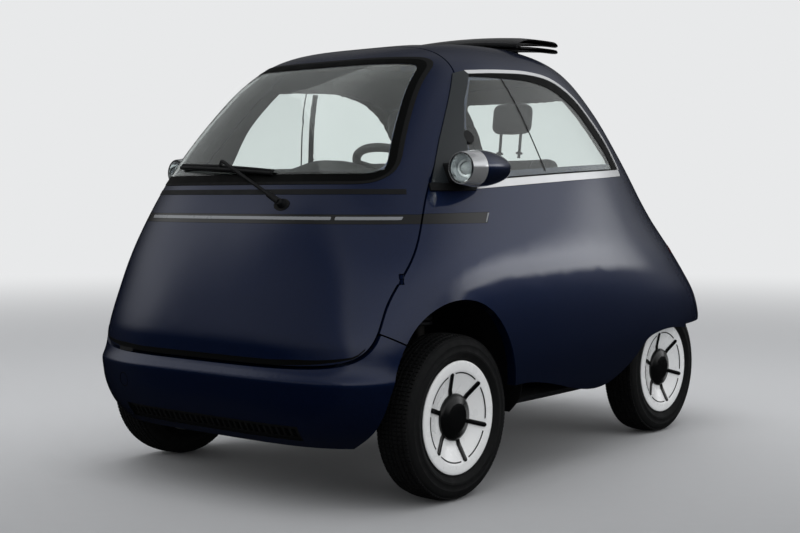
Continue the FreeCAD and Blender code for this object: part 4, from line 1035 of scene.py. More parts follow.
@dataclass
class Studio:
    """Pale room, soft boxes and the camera of the photograph."""

    camera_place: Point3 = (3.27478, -4.16931, 0.95967)
    yaw: float = 0.694
    pitch: float = 0.050
    focal_px: float = 1350.65
    frame_px: float = 800.0
    sensor_mm: float = 36.0
    floor_size: float = 240.0
    ambient: float = 0.78
    horizon: Point2 = (0.04, 0.28)
    horizon_level: Point2 = (0.02, 0.85)
    overhead: Point2 = (0.36, 0.72)
    overhead_share: float = 0.45
    ceiling: Point2 = (0.76, 0.95)
    ceiling_share: float = 0.3
    far_side: Point2 = (-1.25, -0.45)
    far_share: float = 0.12
    near_side: Point2 = (0.7, 0.84)
    near_share: float = 0.3
    camera_side: Point3 = (-0.34, -0.94, 0.0)
    strip_low: Point2 = (0.11, 0.15)
    strip_high: Point2 = (0.20, 0.29)
    strip_along: Point2 = (0.5, 0.86)
    strip_side: Point2 = (-0.85, -0.5)
    strip_level: float = 2.4
    lamps: Sequence[tuple[str, Point3, Point3, Point2, float]] = (
        ("overhead_box", (0.3, -0.4, 4.6), (0, 0, 0.6), (6.0, 5.0), 90),
        ("left_box", (5.6, 1.2, 2.2), (0.2, 0.1, 0.8), (4.5, 2.6), 40),
        ("front_right_box", (-4.4, -4.6, 2.6), (-0.1, -0.6, 0.7), (4.0, 3.0), 30))

    def camera(self) -> None:
        """Camera at the photograph's place."""
        data = bpy.data.cameras.new("photo_camera")
        data.sensor_width = self.sensor_mm
        data.lens = self.focal_px / self.frame_px * self.sensor_mm
        data.clip_end = 200
        made = bpy.data.objects.new("photo_camera", data)
        bpy.context.scene.collection.objects.link(made)
        made.location = self.camera_place
        made.rotation_euler = (math.pi / 2 - self.pitch, 0, self.yaw)
        bpy.context.scene.camera = made

    def world(self) -> None:
        """Soft light all round, pale to the camera, with a dark ground and a long soft strip in gloss."""
        world = bpy.data.worlds.new("studio")
        bpy.context.scene.world = world
        world.use_nodes = True
        tree = world.node_tree
        tree.nodes.clear()
        path = add_node(tree, "ShaderNodeLightPath")
        seen = add_node(tree, "ShaderNodeMath", {"operation": "MAXIMUM"}, {
            0: path.outputs["Is Camera Ray"], 1: path.outputs["Is Transmission Ray"]})
        way = add_node(tree, "ShaderNodeSeparateXYZ", inputs={
            0: add_node(tree, "ShaderNodeTexCoord").outputs["Generated"]})
        x, y, z = way.outputs

        def ramp(value: bpy.types.NodeSocket, span: Point2, low: float = 0.0,
                 high: float = 1.0) -> bpy.types.NodeSocket:
            """Step softly from one level to another.

            Args:
                value: What is measured.
                span: Where the step starts and ends.
                low: Level before it.
                high: Level after it.

            Returns:
                The level.
            """
            return add_node(tree, "ShaderNodeMapRange", {"interpolation_type": "SMOOTHSTEP"}, {
                "Value": value, "From Min": span[0], "From Max": span[1], "To Min": low,
                "To Max": high}).outputs[0]

        def times(*values: bpy.types.NodeSocket) -> bpy.types.NodeSocket:
            """Multiply several values.

            Args:
                *values: The values.

            Returns:
                Their product.
            """
            product = values[0]
            for value in values[1:]:
                product = add_node(tree, "ShaderNodeMath", {"operation": "MULTIPLY"},
                                   {0: product, 1: value}).outputs[0]
            return product

        side = add_node(tree, "ShaderNodeMath", {"operation": "SUBTRACT"}, {0: x, 1: y}).outputs[0]
        ahead = add_node(tree, "ShaderNodeVectorMath", {"operation": "DOT_PRODUCT"}, {
            0: add_node(tree, "ShaderNodeTexCoord").outputs["Generated"],
            1: self.camera_side}).outputs["Value"]
        walls = times(ramp(z, self.horizon, *self.horizon_level),
                      ramp(z, self.overhead, 1.0, self.overhead_share),
                      ramp(z, self.ceiling, 1.0, self.ceiling_share),
                      ramp(side, self.far_side, self.far_share, 1.0),
                      ramp(ahead, self.near_side, 1.0, self.near_share))
        strip = times(ramp(z, self.strip_low), ramp(z, self.strip_high, 1.0, 0.0), ramp(y, self.strip_along),
                      ramp(side, self.strip_side, 0.0, self.strip_level))
        sky = add_node(tree, "ShaderNodeMath", {"operation": "ADD"}, {0: walls, 1: strip})
        light = add_node(tree, "ShaderNodeMix", {"data_type": "FLOAT"}, {
            "Factor": path.outputs["Is Glossy Ray"], "A": self.ambient, "B": sky.outputs[0]})
        strength = add_node(tree, "ShaderNodeMix", {"data_type": "FLOAT"}, {
            "Factor": seen.outputs[0], "A": light.outputs["Result"], "B": 1.0})
        shader = add_node(tree, "ShaderNodeBackground", inputs={
            "Color": linear(BACKGROUND), "Strength": strength.outputs["Result"]})
        add_node(tree, "ShaderNodeOutputWorld", inputs={"Surface": shader.outputs[0]})

    def floor(self) -> None:
        """Pale floor that keeps the car's shadow, darkens towards the camera with painted shade and fades
        into the background.
        """
        deselect()
        bpy.ops.mesh.primitive_plane_add(size=self.floor_size, location=(0, 0, 0))
        made = bpy.context.object
        made.name = "studio_floor"
        made.data.materials.append(Backdrop("pale_studio_floor_with_painted_shade", "#d2d3d5", roughness=0.6, specular=0.1,
                                            mottle=0.02, grain=0.02, grain_mm=40.0).material())
        made.visible_glossy = False

    def lamp(self, name: str, place: Point3, target: Point3, size: Point2, watts: float) -> None:
        """Hang one soft box.

        Args:
            name: Its name.
            place: Where it hangs, in metres.
            target: Where it aims.
            size: Its width and height.
            watts: Its power.
        """
        data = bpy.data.lights.new(name, "AREA")
        data.shape = "RECTANGLE"
        data.size, data.size_y = size
        data.energy = watts
        made = bpy.data.objects.new(name, data)
        bpy.context.scene.collection.objects.link(made)
        made.location = place
        aim = Vector(target) - Vector(place)
        made.rotation_euler = aim.to_track_quat("-Z", "Y").to_euler()
        made.visible_glossy = False

    def build(self) -> None:
        """Make the room."""
        bpy.context.scene.view_settings.view_transform = "Standard"
        self.camera()
        self.world()
        self.floor()
        for lamp in self.lamps:
            self.lamp(*lamp)


# The car.


@dataclass
class Car:
    """What every sub-assembly needs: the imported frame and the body's skin."""

    frame: dict
    skin: Skin

    def paint(self, node: str, finish: Finish) -> None:
        """Give a CAD node its finish.

        Args:
            node: Name of the node.
            finish: Its finish.
        """
        tinted(self.frame["nodes"][node], finish)
        LOG.info("%s keeps its solid's shape, in %s", node, finish.name)


def both(piece: bpy.types.Object) -> bpy.types.Object:
    """A piece of the left side joined with its copy on the right side."""
    return joined([piece, mirrored(piece)])


@dataclass
class Shell:
    """Body panels, glass and bars, which keep the shapes of their solids."""

    car: Car
    finishes: dict[str, Finish] = field(default_factory=lambda: {
        "front_door": NAVY_PANEL, "side_panel_left": NAVY_PANEL, "side_panel_right": NAVY_PANEL,
        "roof_frame": NAVY_PANEL, "front_bumper": NAVY_PANEL, "rear_bumper": NAVY_PANEL,
        "rear_hatch": NAVY_PANEL,
        "windscreen": CLEAR_GLASS, "side_windows": CLEAR_GLASS, "rear_window": CLEAR_GLASS,
        "front_light_bar": PIANO_BLACK, "side_blades": PIANO_BLACK,
        "rear_light_bar": RED_LENS, "door_bar": BRUSHED_ALLOY,
        "lower_grille": GRAINED_BLACK, "rear_valance": GRAINED_BLACK,
        "lamp_lenses": CLEAR_GLASS, "floor_pan": FLOOR_STEEL, "arch_liners": GRAINED_BLACK,
        "steering_column": GRAINED_BLACK, "pedals": CHASSIS_STEEL,
        "battery": CAST_ALLOY, "drive_unit": CAST_ALLOY, "rear_axle": CHASSIS_STEEL,
        "suspension_struts": CHASSIS_STEEL, "front_axle": CHASSIS_STEEL, "knuckle_left": CAST_IRON,
        "knuckle_right": CAST_IRON})

    def build(self) -> None:
        """Dress every node that keeps its solid's shape."""
        for node, finish in self.finishes.items():
            self.car.paint(node, finish)


@dataclass
class Wheels:
    """Four tyres on steel rims with white dished trims, black fingers and black caps."""

    car: Car
    front: Point3 = (633.75, -780.0, 266.5)
    rear: Point3 = (499.5, 786.0, 266.5)
    steps: int = 120
    block_gap: float = 1.8
    block_rise: float = 5.4
    tread_r: float = 254.0
    ribs: Sequence[Point2] = ((46.0, 58.5), (28.0, 42.0), (9.0, 24.0), (-5.0, 5.0))
    section: Sequence[Point2] = ((176.5, 53), (181, 57), (187, 61.2), (190, 61.2), (193, 63.8), (203, 69.2),
                                 (206, 71.8), (212, 72.2), (215, 70.6), (230, 69.2), (232, 70.0), (235, 69.2),
                                 (246, 65.5), (251, 62.8), (254, 58.5), (257.6, 46), (258.4, 42), (259.8, 28),
                                 (260.1, 24), (260.6, 9), (260.7, 5))
    steel: Sequence[Point2] = ((15.2, -58), (42, -58), (42, 2), (60, 8), (90, 18), (140, 10), (148, -4),
                               (146, -30), (158, -38), (164, -46), (164, -53), (170, -56), (175.6, -53.5),
                               (175.6, -44), (152, -36), (152, 34), (175.6, 44), (175.6, 54), (171, 58),
                               (166, 57), (164, 50), (147, 32), (143, 21), (135, 24), (90, 30), (42, 26.5),
                               (15.2, 26))
    dish: Sequence[Point2] = ((74, 41.3), (92, 43.4), (100, 46.6), (146, 62.6), (149, 64.6), (153, 65.4),
                              (164, 66.1), (175, 66.3), (179, 65.6), (181.6, 63.6), (182, 61.3))
    dish_back: Sequence[Point2] = ((180, 59.6), (174, 58.4), (150, 59.4), (92, 38.5), (74, 37))
    cap: Sequence[Point2] = ((0, 37), (72, 37), (75.6, 40.5), (76, 46), (74.4, 49.6), (66, 54.3), (50, 57.3),
                             (47.6, 58.9), (44, 59.6), (22, 60.8), (0, 61.2))
    fingers: int = 6
    finger_r: Point2 = (70.0, 148.0)
    finger_half: float = 7.6
    finger_rise: float = 5.0
    finger_turn: float = 14.0
    spans: int = 8
    arc_r: Point2 = (141.5, 145.5)
    arc_clear: float = 8.0

    def tyre(self, place: str, centre: Point3, side: int) -> None:
        """Make one tyre with a ribbed tread of sunk-edged blocks.

        Args:
            place: The wheel's place on the car, as in the node's name.
            centre: Its hub in millimetres.
            side: 1 on the car's left, -1 on its right.
        """
        half = list(self.section)
        profile = half + [(r, -a) for r, a in reversed(half)]
        made = turned(profile, steps=self.steps)

        def on_rib(middle: Vector, facing: Vector) -> bool:
            """Tell whether a face belongs to one of the tread's ribs.

            Args:
                middle: The face's centre in metres.
                facing: Its normal.

            Returns:
                True on a rib.
            """
            radius, along = math.hypot(middle.x, middle.y) / MM, abs(middle.z) / MM
            return radius > self.tread_r and any(low < along < high for low, high in self.ribs)
        edit(made, lambda: bpy.ops.mesh.inset(thickness=self.block_gap * MM, depth=self.block_rise * MM,
                                              use_individual=True), on_rib)
        placed(made, centre, (side, 0, 0))
        smooth(made, 28)
        dress(made, f"tyre_{place}_rubber", TYRE_RUBBER, f"wheel_{place}", [f"tyre_{place}"])

    def height(self, radius: float) -> float:
        """Height of the trim's outer face at a radius."""
        return float(np.interp(radius, [r for r, _ in self.dish], [a for _, a in self.dish]))

    def on_dish(self, outline: Sequence[Point2], rise: float, thickness: float) -> bpy.types.Object:
        """Make a plate that follows the trim's dished face.

        Args:
            outline: Its outline in the wheel's plane, in millimetres.
            rise: Height of its outer face over the trim.
            thickness: Its thickness.

        Returns:
            The plate, about the z axis.
        """
        made = outline_mesh([(u * MM, v * MM, 0) for u, v in outline], fill=True)

        def steps() -> None:
            """Cut the plate into short spans so that it follows the dish."""
            for k in range(1, self.spans):
                bpy.ops.mesh.select_all(action="SELECT")
                at = self.finger_r[0] + (self.finger_r[1] - self.finger_r[0]) * k / self.spans
                bpy.ops.mesh.bisect(plane_co=(at * MM, 0, 0), plane_no=(1, 0, 0))
        edit(made, steps)
        for vertex in made.data.vertices:
            radius = math.hypot(vertex.co.x, vertex.co.y) / MM
            vertex.co.z = (self.height(radius) + rise) * MM
        modify(made, "SOLIDIFY", thickness=thickness * MM, offset=-1.0)
        modify(made, "BEVEL", width=0.9 * MM, segments=2, limit_method="ANGLE", angle_limit=math.radians(50))
        smooth(made, 40)
        return tinted(made, CAP_BLACK)

    def trim(self) -> list[bpy.types.Object]:
        """Make the white disc, black fingers, thin black arcs and the domed cap.

        Returns:
            The pieces, about the z axis.
        """
        disc = turned([*self.dish, *self.dish_back], steps=96, degrees=40)
        parts = [tinted(disc, WHITE_TRIM), tinted(turned(self.cap, steps=72, degrees=40), CAP_BLACK)]
        r0, r1 = self.finger_r
        w = self.finger_half
        bar = [(r0, -w), (r1 - w, -w)]
        bar += [(r1 - w + w * math.sin(t), -w * math.cos(t)) for t in np.linspace(0.3, math.pi - 0.3, 8)]
        bar += [(r1 - w, w), (r0, w)]
        step = 360 / self.fingers
        low, high = math.radians(self.arc_clear), math.radians(step - self.arc_clear)
        turns = np.linspace(low, high, 16)
        arc = [(self.arc_r[0] * math.cos(t), self.arc_r[0] * math.sin(t)) for t in turns]
        arc += [(self.arc_r[1] * math.cos(t), self.arc_r[1] * math.sin(t)) for t in turns[::-1]]
        for k in range(self.fingers):
            turn = step * k + self.finger_turn
            parts.append(placed(self.on_dish(bar, self.finger_rise, 8.0), (0, 0, 0), turn=turn))
            parts.append(placed(self.on_dish(arc, 0.4, 1.6), (0, 0, 0), turn=turn))
        return parts

    def build(self) -> None:
        """Make the four wheels."""
        for name, (x, y, z) in (("front", self.front), ("rear", self.rear)):
            for hand, side in (("left", 1), ("right", -1)):
                place = f"{name}_{hand}"
                centre = (side * x, y, z)
                self.tyre(place, centre, side)
                rim = joined([*self.trim(), tinted(turned(self.steel, steps=96), RIM_STEEL)])
                placed(rim, centre, (side, 0, 0))
                dress(rim, f"rim_{place}_dressed", WHITE_TRIM, f"wheel_{place}",
                      [f"rim_{place}"])


@dataclass
class LampPods:
    """Round head lamps in bullet-shaped pods that also carry the mirrors."""

    car: Car
    centre: Point3 = (680.0, -748.0, 1058.0)
    length: float = 224.0
    lens_r: float = 46.0
    cone: float = 66.0
    radius: float = 60.0
    tail_r: float = 36.0
    tail_edge: float = 1.5
    fall: float = 2.2
    steps: int = 14
    arm_low: Point3 = (560.0, -722.0, 1010.0)
    arm_high: Point3 = (634.0, -646.0, 1076.0)
    base: Sequence[Point2] = ((-806, 984), (-604, 986), (-596, 996), (-604, 1008), (-800, 1008))

    def hull(self) -> list[Point2]:
        """Draw the navy bullet's outer line, from the chrome cone to the blunt tail.

        Returns:
            Points of radius and distance from the lens.
        """
        out = []
        for k in range(self.steps + 1):
            share = k / self.steps
            along = self.cone + 1 + (self.length - self.cone - 1) * share
            radius = self.radius - (self.radius - self.tail_r) * share ** self.fall
            out.append((radius - (self.tail_edge if k == self.steps else 0), along))
        return out

    def shell(self) -> bpy.types.Object:
        """Turn the painted bullet, whose front is open.

        Returns:
            The left bullet.
        """
        r, end = self.tail_r, self.length
        tail = [(r - 4, end), (r - 5, end - 3), (0, end - 3)]
        inner = [(0, end - 12), (r - 8, end - 14), (self.radius - 10, self.cone + 30),
                 (self.radius - 6, self.cone + 1)]
        return tinted(turned([*self.hull(), *tail, *inner], self.centre, (0, 1, 0), 96), NAVY)

    def build(self) -> None:
        """Make the left pod and its copy on the right."""
        def round_part(profile: Sequence[Point2], finish: Finish, steps: int = 72) -> bpy.types.Object:
            """Turn a part of the pod.

            Args:
                profile: Points of radius and distance from the lens.
                finish: Its finish.
                steps: Sides of its full turn.

            Returns:
                The left part.
            """
            return tinted(turned(profile, self.centre, (0, 1, 0), steps), finish)

        r = self.lens_r
        cone = [(r + 2.6, 1.6), (r + 3.2, 0.4), (r + 4.4, 0.2), (r + 5.4, 1.4),
                (self.radius - 0.3, self.cone - 4), (self.radius, self.cone - 1),
                (self.radius - 0.6, self.cone), (self.radius - 5, self.cone), (r + 2.6, 8)]
        bezel = [(r - 1.5, 5.8), (r + 0.3, 5.2), (r + 0.3, 0.6), (r + 2.5, 0.6), (r + 2.5, 9), (r - 4.5, 9),
                 (r - 4.5, 6.4)]
        bowl = [(8 + (r - 10) * math.sqrt(k / 10), 46 - 38.5 * k / 10) for k in range(11)]
        bowl += [(u + 1.4, v + 1.2) for u, v in reversed(bowl)]
        ring = [(19, 22), (24, 21), (26, 24), (26, 40), (19, 40)]
        eye = [(0, 16)] + [(18.6 * math.sin(t), 34 - 18 * math.cos(t)) for t in np.linspace(0.2, 1.5, 8)]
        eye += [(18.6, 38), (0, 38)]
        glass_r, front, back = self.tail_r - 5.6, self.length - 2.4, self.length - 3.4
        mirror = [(0, front), (glass_r, front), (glass_r, back), (0, back)]
        dress(both(self.shell()), "lamp_pod_bullets", NAVY, "body", ["lamp_pods"])
        dress(both(round_part(cone, POLISHED_CHROME)), "lamp_pod_cones", POLISHED_CHROME, "body")
        dress(both(round_part(bezel, GRAINED_BLACK)), "lamp_pod_bezels", GRAINED_BLACK, "body")
        dress(both(joined([round_part(bowl, REFLECTOR, 36), round_part(ring, SATIN_CHROME)])),
              "lamp_reflectors", REFLECTOR, "body")
        dress(both(round_part(eye, OPAL)), "lamp_projectors", OPAL, "body")
        dress(both(round_part(mirror, MIRROR)), "mirror_glasses", MIRROR, "body")
        arm = rounded_block(self.arm_low, self.arm_high, 9)
        plate = skin_patch(self.car.skin, self.base, View.LEFT, -7.0, 7.5)
        dress(both(joined([arm, plate])), "lamp_pod_arms", GRAINED_BLACK, "body")


@dataclass
class LightBars:
    """Diode strips in the dark bar across the door, the side blades' ends and the rear lamps."""

    car: Car
    strips: Sequence[tuple[float, float]] = ((-429.0, 418.0), (431.0, 592.0))
    strip_z: Point2 = (893.5, 903.5)
    blade_end: Sequence[Point2] = ((-596, 884), (-590, 884), (-563, 914), (-571, 914))
    rear_x: Point2 = (-548.0, 548.0)
    rear_z: Point2 = (739.0, 765.0)
    cells: int = 24
    clear_length: float = 70.0

    def build(self) -> None:
        """Make the strips, the blade ends and the rear lamp's parts."""
        skin = self.car.skin
        z0, z1 = self.strip_z
        strips = [skin_patch(skin, rounded([(a, z0), (b, z0), (b, z1), (a, z1)], 3.0), View.FRONT, -1.3,
                             2.4, 8) for a, b in self.strips]
        dress(joined(strips), "front_diode_strips", SILVER_STRIP, "front_door")
        end = skin_patch(skin, self.blade_end, View.LEFT, -1.3, 2.4)
        dress(both(end), "side_blade_ends", SILVER_STRIP, "body")
        (x0, x1), (z0, z1) = self.rear_x, self.rear_z
        step = (x1 - x0) / self.cells
        ribs = [skin_patch(skin, [(x - 1, z0), (x + 1, z0), (x + 1, z1), (x - 1, z1)], View.REAR, -1.0, 1.6)
                for x in (x0 + step * k for k in range(1, self.cells))]
        dress(joined(ribs), "rear_lamp_ribs", PIANO_BLACK, "body")
        wide = self.clear_length
        clear = [skin_patch(skin, rounded([(a, z0 + 4), (a + wide, z0 + 4), (a + wide, z1 - 4), (a, z1 - 4)],
                                          4), View.REAR, -1.2, 2.4)
                 for a in (x0 + step * 5, x1 - step * 5 - wide)]
        dress(joined(clear), "reversing_lamps", OPAL, "body")


@dataclass
class Glazing:
    """Printed borders, seals, pillar covers, sliding panes and their knobs."""

    car: Car
    screen: Sequence[Point2] = ((-540, 1012), (540, 1012), (402, 1436), (-402, 1436))
    screen_r: float = 62.0
    rear: Sequence[Point2] = ((-385, 930), (385, 930), (300, 1392), (-300, 1392))
    rear_r: float = 60.0
    side: Sequence[Point2] = ((-606, 1016), (-40, 1048), (478, 1072), (432, 1168), (336, 1262), (236, 1342),
                              (98, 1396), (-60, 1411), (-250, 1404), (-440, 1389), (-522, 1290), (-571, 1200),
                              (-594, 1110))
    front_print: Point2 = (18.0, 27.0)
    front_sill: float = 1040.0
    rear_print: float = 26.0
    side_print: Sequence[Point2] = ((-620, 9), (-420, 9), (-250, 18), (-60, 26), (160, 44), (360, 56),
                                    (500, 58))
    belt_print: float = 7.0
    belt_line: Point2 = (1055.0, 0.05)
    cover: Sequence[Point2] = ((-735, 1092), (-694, 1150), (-620, 1244), (-556, 1322), (-505, 1384),
                               (-444, 1398), (-430, 1386), (-516, 1286), (-562, 1200), (-585, 1112),
                               (-598, 1040), (-602, 1010), (-790, 1010))
    pane_edge: Sequence[Point2] = ((-249, 1386), (-244, 1386), (-147, 1060), (-153, 1060))
    belt_w: float = 26.0
    arc_w: float = 13.0
    post: Sequence[Point2] = ((-208, 1380), (-182, 1380), (-90, 1064), (-115, 1064))
    knob: Point2 = (-556.0, 1165.0)
    knob_r: float = 25.0

    def border(self, outline: Sequence[Point2], widths: Callable[[float, float], float],
               view: View) -> bpy.types.Object:
        """Lay the black print round the edge of a pane.

        Args:
            outline: The pane's outline in millimetres.
            widths: Gives the print's width at a point of it.
            view: Direction in which it is drawn.

        Returns:
            The print.
        """
        outer = inset(outline, 1.4)
        return skin_band(self.car.skin, outer, inset(outline, widths), view, -1.1, 1.6)

    def seal(self, outline: Sequence[Point2], view: View) -> bpy.types.Object:
        """Rubber lip round a pane."""
        return skin_band(self.car.skin, inset(outline, -6.0), inset(outline, 2.6), view, -1.6, 2.6)

    def build(self) -> None:
        """Make the borders, strips, covers and knobs of every pane."""
        skin = self.car.skin
        front = even(rounded(self.screen, self.screen_r), 220)
        back = even(rounded(self.rear, self.rear_r), 200)
        around, foot = self.front_print
        dress(self.border(front, lambda x, z: foot if z < self.front_sill else around, View.FRONT),
              "windscreen_border", BLACK_PRINT, "front_door")
        dress(self.seal(front, View.FRONT), "windscreen_seal", TYRE_RUBBER, "front_door")
        dress(self.border(back, lambda x, z: self.rear_print, View.REAR), "rear_window_border", BLACK_PRINT,
              "tailgate")
        dress(self.seal(back, View.REAR), "rear_window_seal", TYRE_RUBBER, "tailgate")
        belt, arc = self.side_outline()
        strips = []
        for line, wide in ((belt, self.belt_w), (arc, self.arc_w)):
            outer = inset(line, lambda y, z, wide=wide: -self.facing_width(wide, y, z), closed=False)
            strips.append(skin_band(skin, outer, inset(line, 1.0, closed=False), View.LEFT, -3.4, 3.2,
                                    False, 2))
        dress(both(joined(strips)), "side_window_strips", SATIN_CHROME, "body", ["window_trims"])
        whole = belt[:-1] + arc[:-1] + spline([*self.side[9:], self.side[0]], 8)[:-1]
        edge = even(whole, 240)

        def width(y: float, z: float) -> float:
            """Width of the print: narrow at the belt, broad along the rear.

            Args:
                y: Place along the car.
                z: Height.

            Returns:
                The width in millimetres.
            """
            level, slope = self.belt_line
            return self.belt_print if z < level + slope * y else float(np.interp(y, *zip(*self.side_print)))
        dress(both(skin_band(skin, inset(edge, 1.6), inset(edge, width), View.LEFT, -1.2, 1.8)),
              "side_window_borders", BLACK_PRINT, "body")
        dress(both(skin_patch(skin, self.cover, View.LEFT, -4.8, 4.6, 26)), "pillar_covers", PILLAR_FOIL,
              "body")
        dress(both(skin_patch(skin, self.pane_edge, View.LEFT, -0.6, 3.0)), "sliding_pane_edges",
              GRAINED_BLACK, "body")
        dress(skin_patch(skin, self.post, View.RIGHT, 5.5, 4.0), "right_window_post", GRAINED_BLACK, "body")
        spot, facing, _ = skin.nearest(skin.drop(self.knob[0] * MM, self.knob[1] * MM, View.LEFT))
        r = self.knob_r
        disc = turned([(0, -0.2), (r - 2, -0.2), (r, -1.8), (r, -3.4), (r - 1, -4.4), (0, -4.4)],
                      tuple(spot / MM + facing * 5.0), tuple(facing), 40)
        dress(both(disc), "sliding_pane_knobs", GRAINED_BLACK, "body")

    def facing_width(self, width: float, y: float, z: float) -> float:
        """Foreshorten a bright strip that lies on the skin.

        Args:
            width: Its width along the skin.
            y: Place along the car.
            z: Height.

        Returns:
            Its width as seen from the side.
        """
        _, facing, _ = self.car.skin.nearest(self.car.skin.drop(y * MM, z * MM, View.LEFT))
        return width * max(abs(facing.x), 0.3)

    def side_outline(self) -> tuple[list[Point2], list[Point2]]:
        """Lower edge of the side glass, and its rear and upper edge."""
        return spline(self.side[:3], 10), spline(self.side[2:10], 8)


@dataclass
class Wiper:
    """Arm, hooked end and rubber blade on a dark pad."""

    car: Car
    pivot: Point2 = (221.0, 943.0)
    knee: Point2 = (170.0, 966.0)
    hook: Point2 = (-114.0, 1078.0)
    blade: Sequence[Point2] = ((-352.0, 1064.0), (136.0, 1038.0))
    pad: Point2 = (32.0, 19.0)
    arm_r: Point2 = (10.5, 5.6)
    spans: int = 12

    def above(self, x: float, z: float, lift: float) -> Point3:
        """Point over the glass, in millimetres."""
        return tuple(self.car.skin.drop(x * MM, z * MM, View.FRONT, -lift * MM) / MM)

    def build(self) -> None:
        """Make the wiper."""
        x, z = self.pivot
        spot, facing, _ = self.car.skin.nearest(self.car.skin.drop(x * MM, z * MM, View.FRONT))
        boss = turned([(0, -1), (15, -1), (16, 3), (13, 9), (12.5, 19), (10, 22), (0, 23)], tuple(spot / MM),
                      tuple(facing), 32)
        pad = skin_patch(self.car.skin, [(x + self.pad[0] * math.cos(t), z - 2 + self.pad[1] * math.sin(t))
                                         for t in np.linspace(0, 2 * math.pi, 32, endpoint=False)],
                         View.FRONT, -2.0, 2.4)
        hx, hz = self.hook
        above, knee = self.above, self.above(*self.knee, 20)
        head = tube([above(x, z, 17), knee], self.arm_r[0], False)
        arm = tube([knee, above(60, 1010, 21), above(-60, 1056, 21), above(hx, hz, 20),
                    above(hx - 9, hz + 1, 17), above(hx - 6, hz - 14, 12)], self.arm_r[1])
        (x0, z0), (x1, z1) = self.blade
        line = [(x0 + (x1 - x0) * k / self.spans, z0 + (z1 - z0) * k / self.spans)
                for k in range(self.spans + 1)]
        bend = [math.sin(math.pi * k / self.spans) for k in range(self.spans + 1)]
        rubber = tube([above(u, v, 3.6) for u, v in line], 3.4, False, 4)
        bow = tube([above(u, v, 9.5 + 6.0 * b) for (u, v), b in zip(line, bend)], 6.5)
        fin = tube([above(u, v + 9 + 4.0 * b, 8.0) for (u, v), b in zip(line, bend)], 5.5)
        claws = [tube([above(u, v, 3.0), above(u, v, 10.0)], 5.0, False, 3) for u, v in line[1::2]]
        saddle = tube([above(hx - 8, hz - 12, 18), above(hx - 8, hz - 30, 10)], 5.0, False)
        whole = joined([boss, pad, head, arm, bow, fin, saddle, *claws])
        dress(whole, "wiper_arm", GRAINED_BLACK, "front_door", ["wiper"])
        dress(rubber, "wiper_rubber", TYRE_RUBBER, "front_door")


@dataclass
class Canopy:
    """Folding canvas roof, laid back in layers behind its opening."""

    car: Car
    half_width: float = 345.0
    crown: float = 20.0
    stations: int = 25
    cloth: float = 2.4
    line: Sequence[Point2] = ((40, 1551), (70, 1566), (130, 1578), (210, 1581), (288, 1581), (312, 1574),
                              (314, 1567), (288, 1562), (200, 1563), (110, 1559), (66, 1549), (60, 1543),
                              (90, 1542), (200, 1551), (296, 1552), (314, 1547), (312, 1541), (280, 1537),
                              (180, 1535), (80, 1530), (44, 1529))
    droop: float = 3.0
    droop_from: float = 0.85
    foot_low: Point3 = (-250.0, 112.0, 1484.0)
    foot_high: Point3 = (250.0, 188.0, 1532.0)
    bar_r: float = 9.0

    def rise(self, share: float) -> float:
        """Height that the roof's crown adds at a share of the half width."""
        return self.crown * (1 - share ** 2) - self.crown / 2

    def build(self) -> None:
        """Fold the canvas and set it on its foot."""
        profile = spline(self.line, 5)
        rows = []
        for k in range(self.stations):
            share = -1 + 2 * k / (self.stations - 1)
            droop = self.droop * max(abs(share) - self.droop_from, 0) / (1 - self.droop_from)
            rows.append([(share * self.half_width, y, z + self.rise(share) - droop) for y, z in profile])
        deselect()
        bpy.ops.mesh.primitive_grid_add(x_subdivisions=len(profile) - 1, y_subdivisions=self.stations - 1)
        made = bpy.context.object
        for k, vertex in enumerate(made.data.vertices):
            vertex.co = Vector(rows[k // len(profile)][k % len(profile)]) * MM
        edit(made, lambda: bpy.ops.mesh.normals_make_consistent(inside=False))
        modify(made, "SOLIDIFY", thickness=self.cloth * MM, offset=0.0)
        smooth(made, 50)
        dress(made, "folded_roof_canvas", ROOF_CANVAS, "body", ["roof_canopy"])
        low, high = self.foot_low, self.foot_high
        foot = rounded_block(low, high, 6)
        y, z = self.line[0]
        lead = [(share * (self.half_width - 4), y + 6, z - 6 + self.rise(share)) for share in
                (k / 10 for k in range(-10, 11))]
        dress(joined([foot, tube(lead, self.bar_r, True, 6)]), "folded_roof_bows", GRAINED_BLACK, "body")


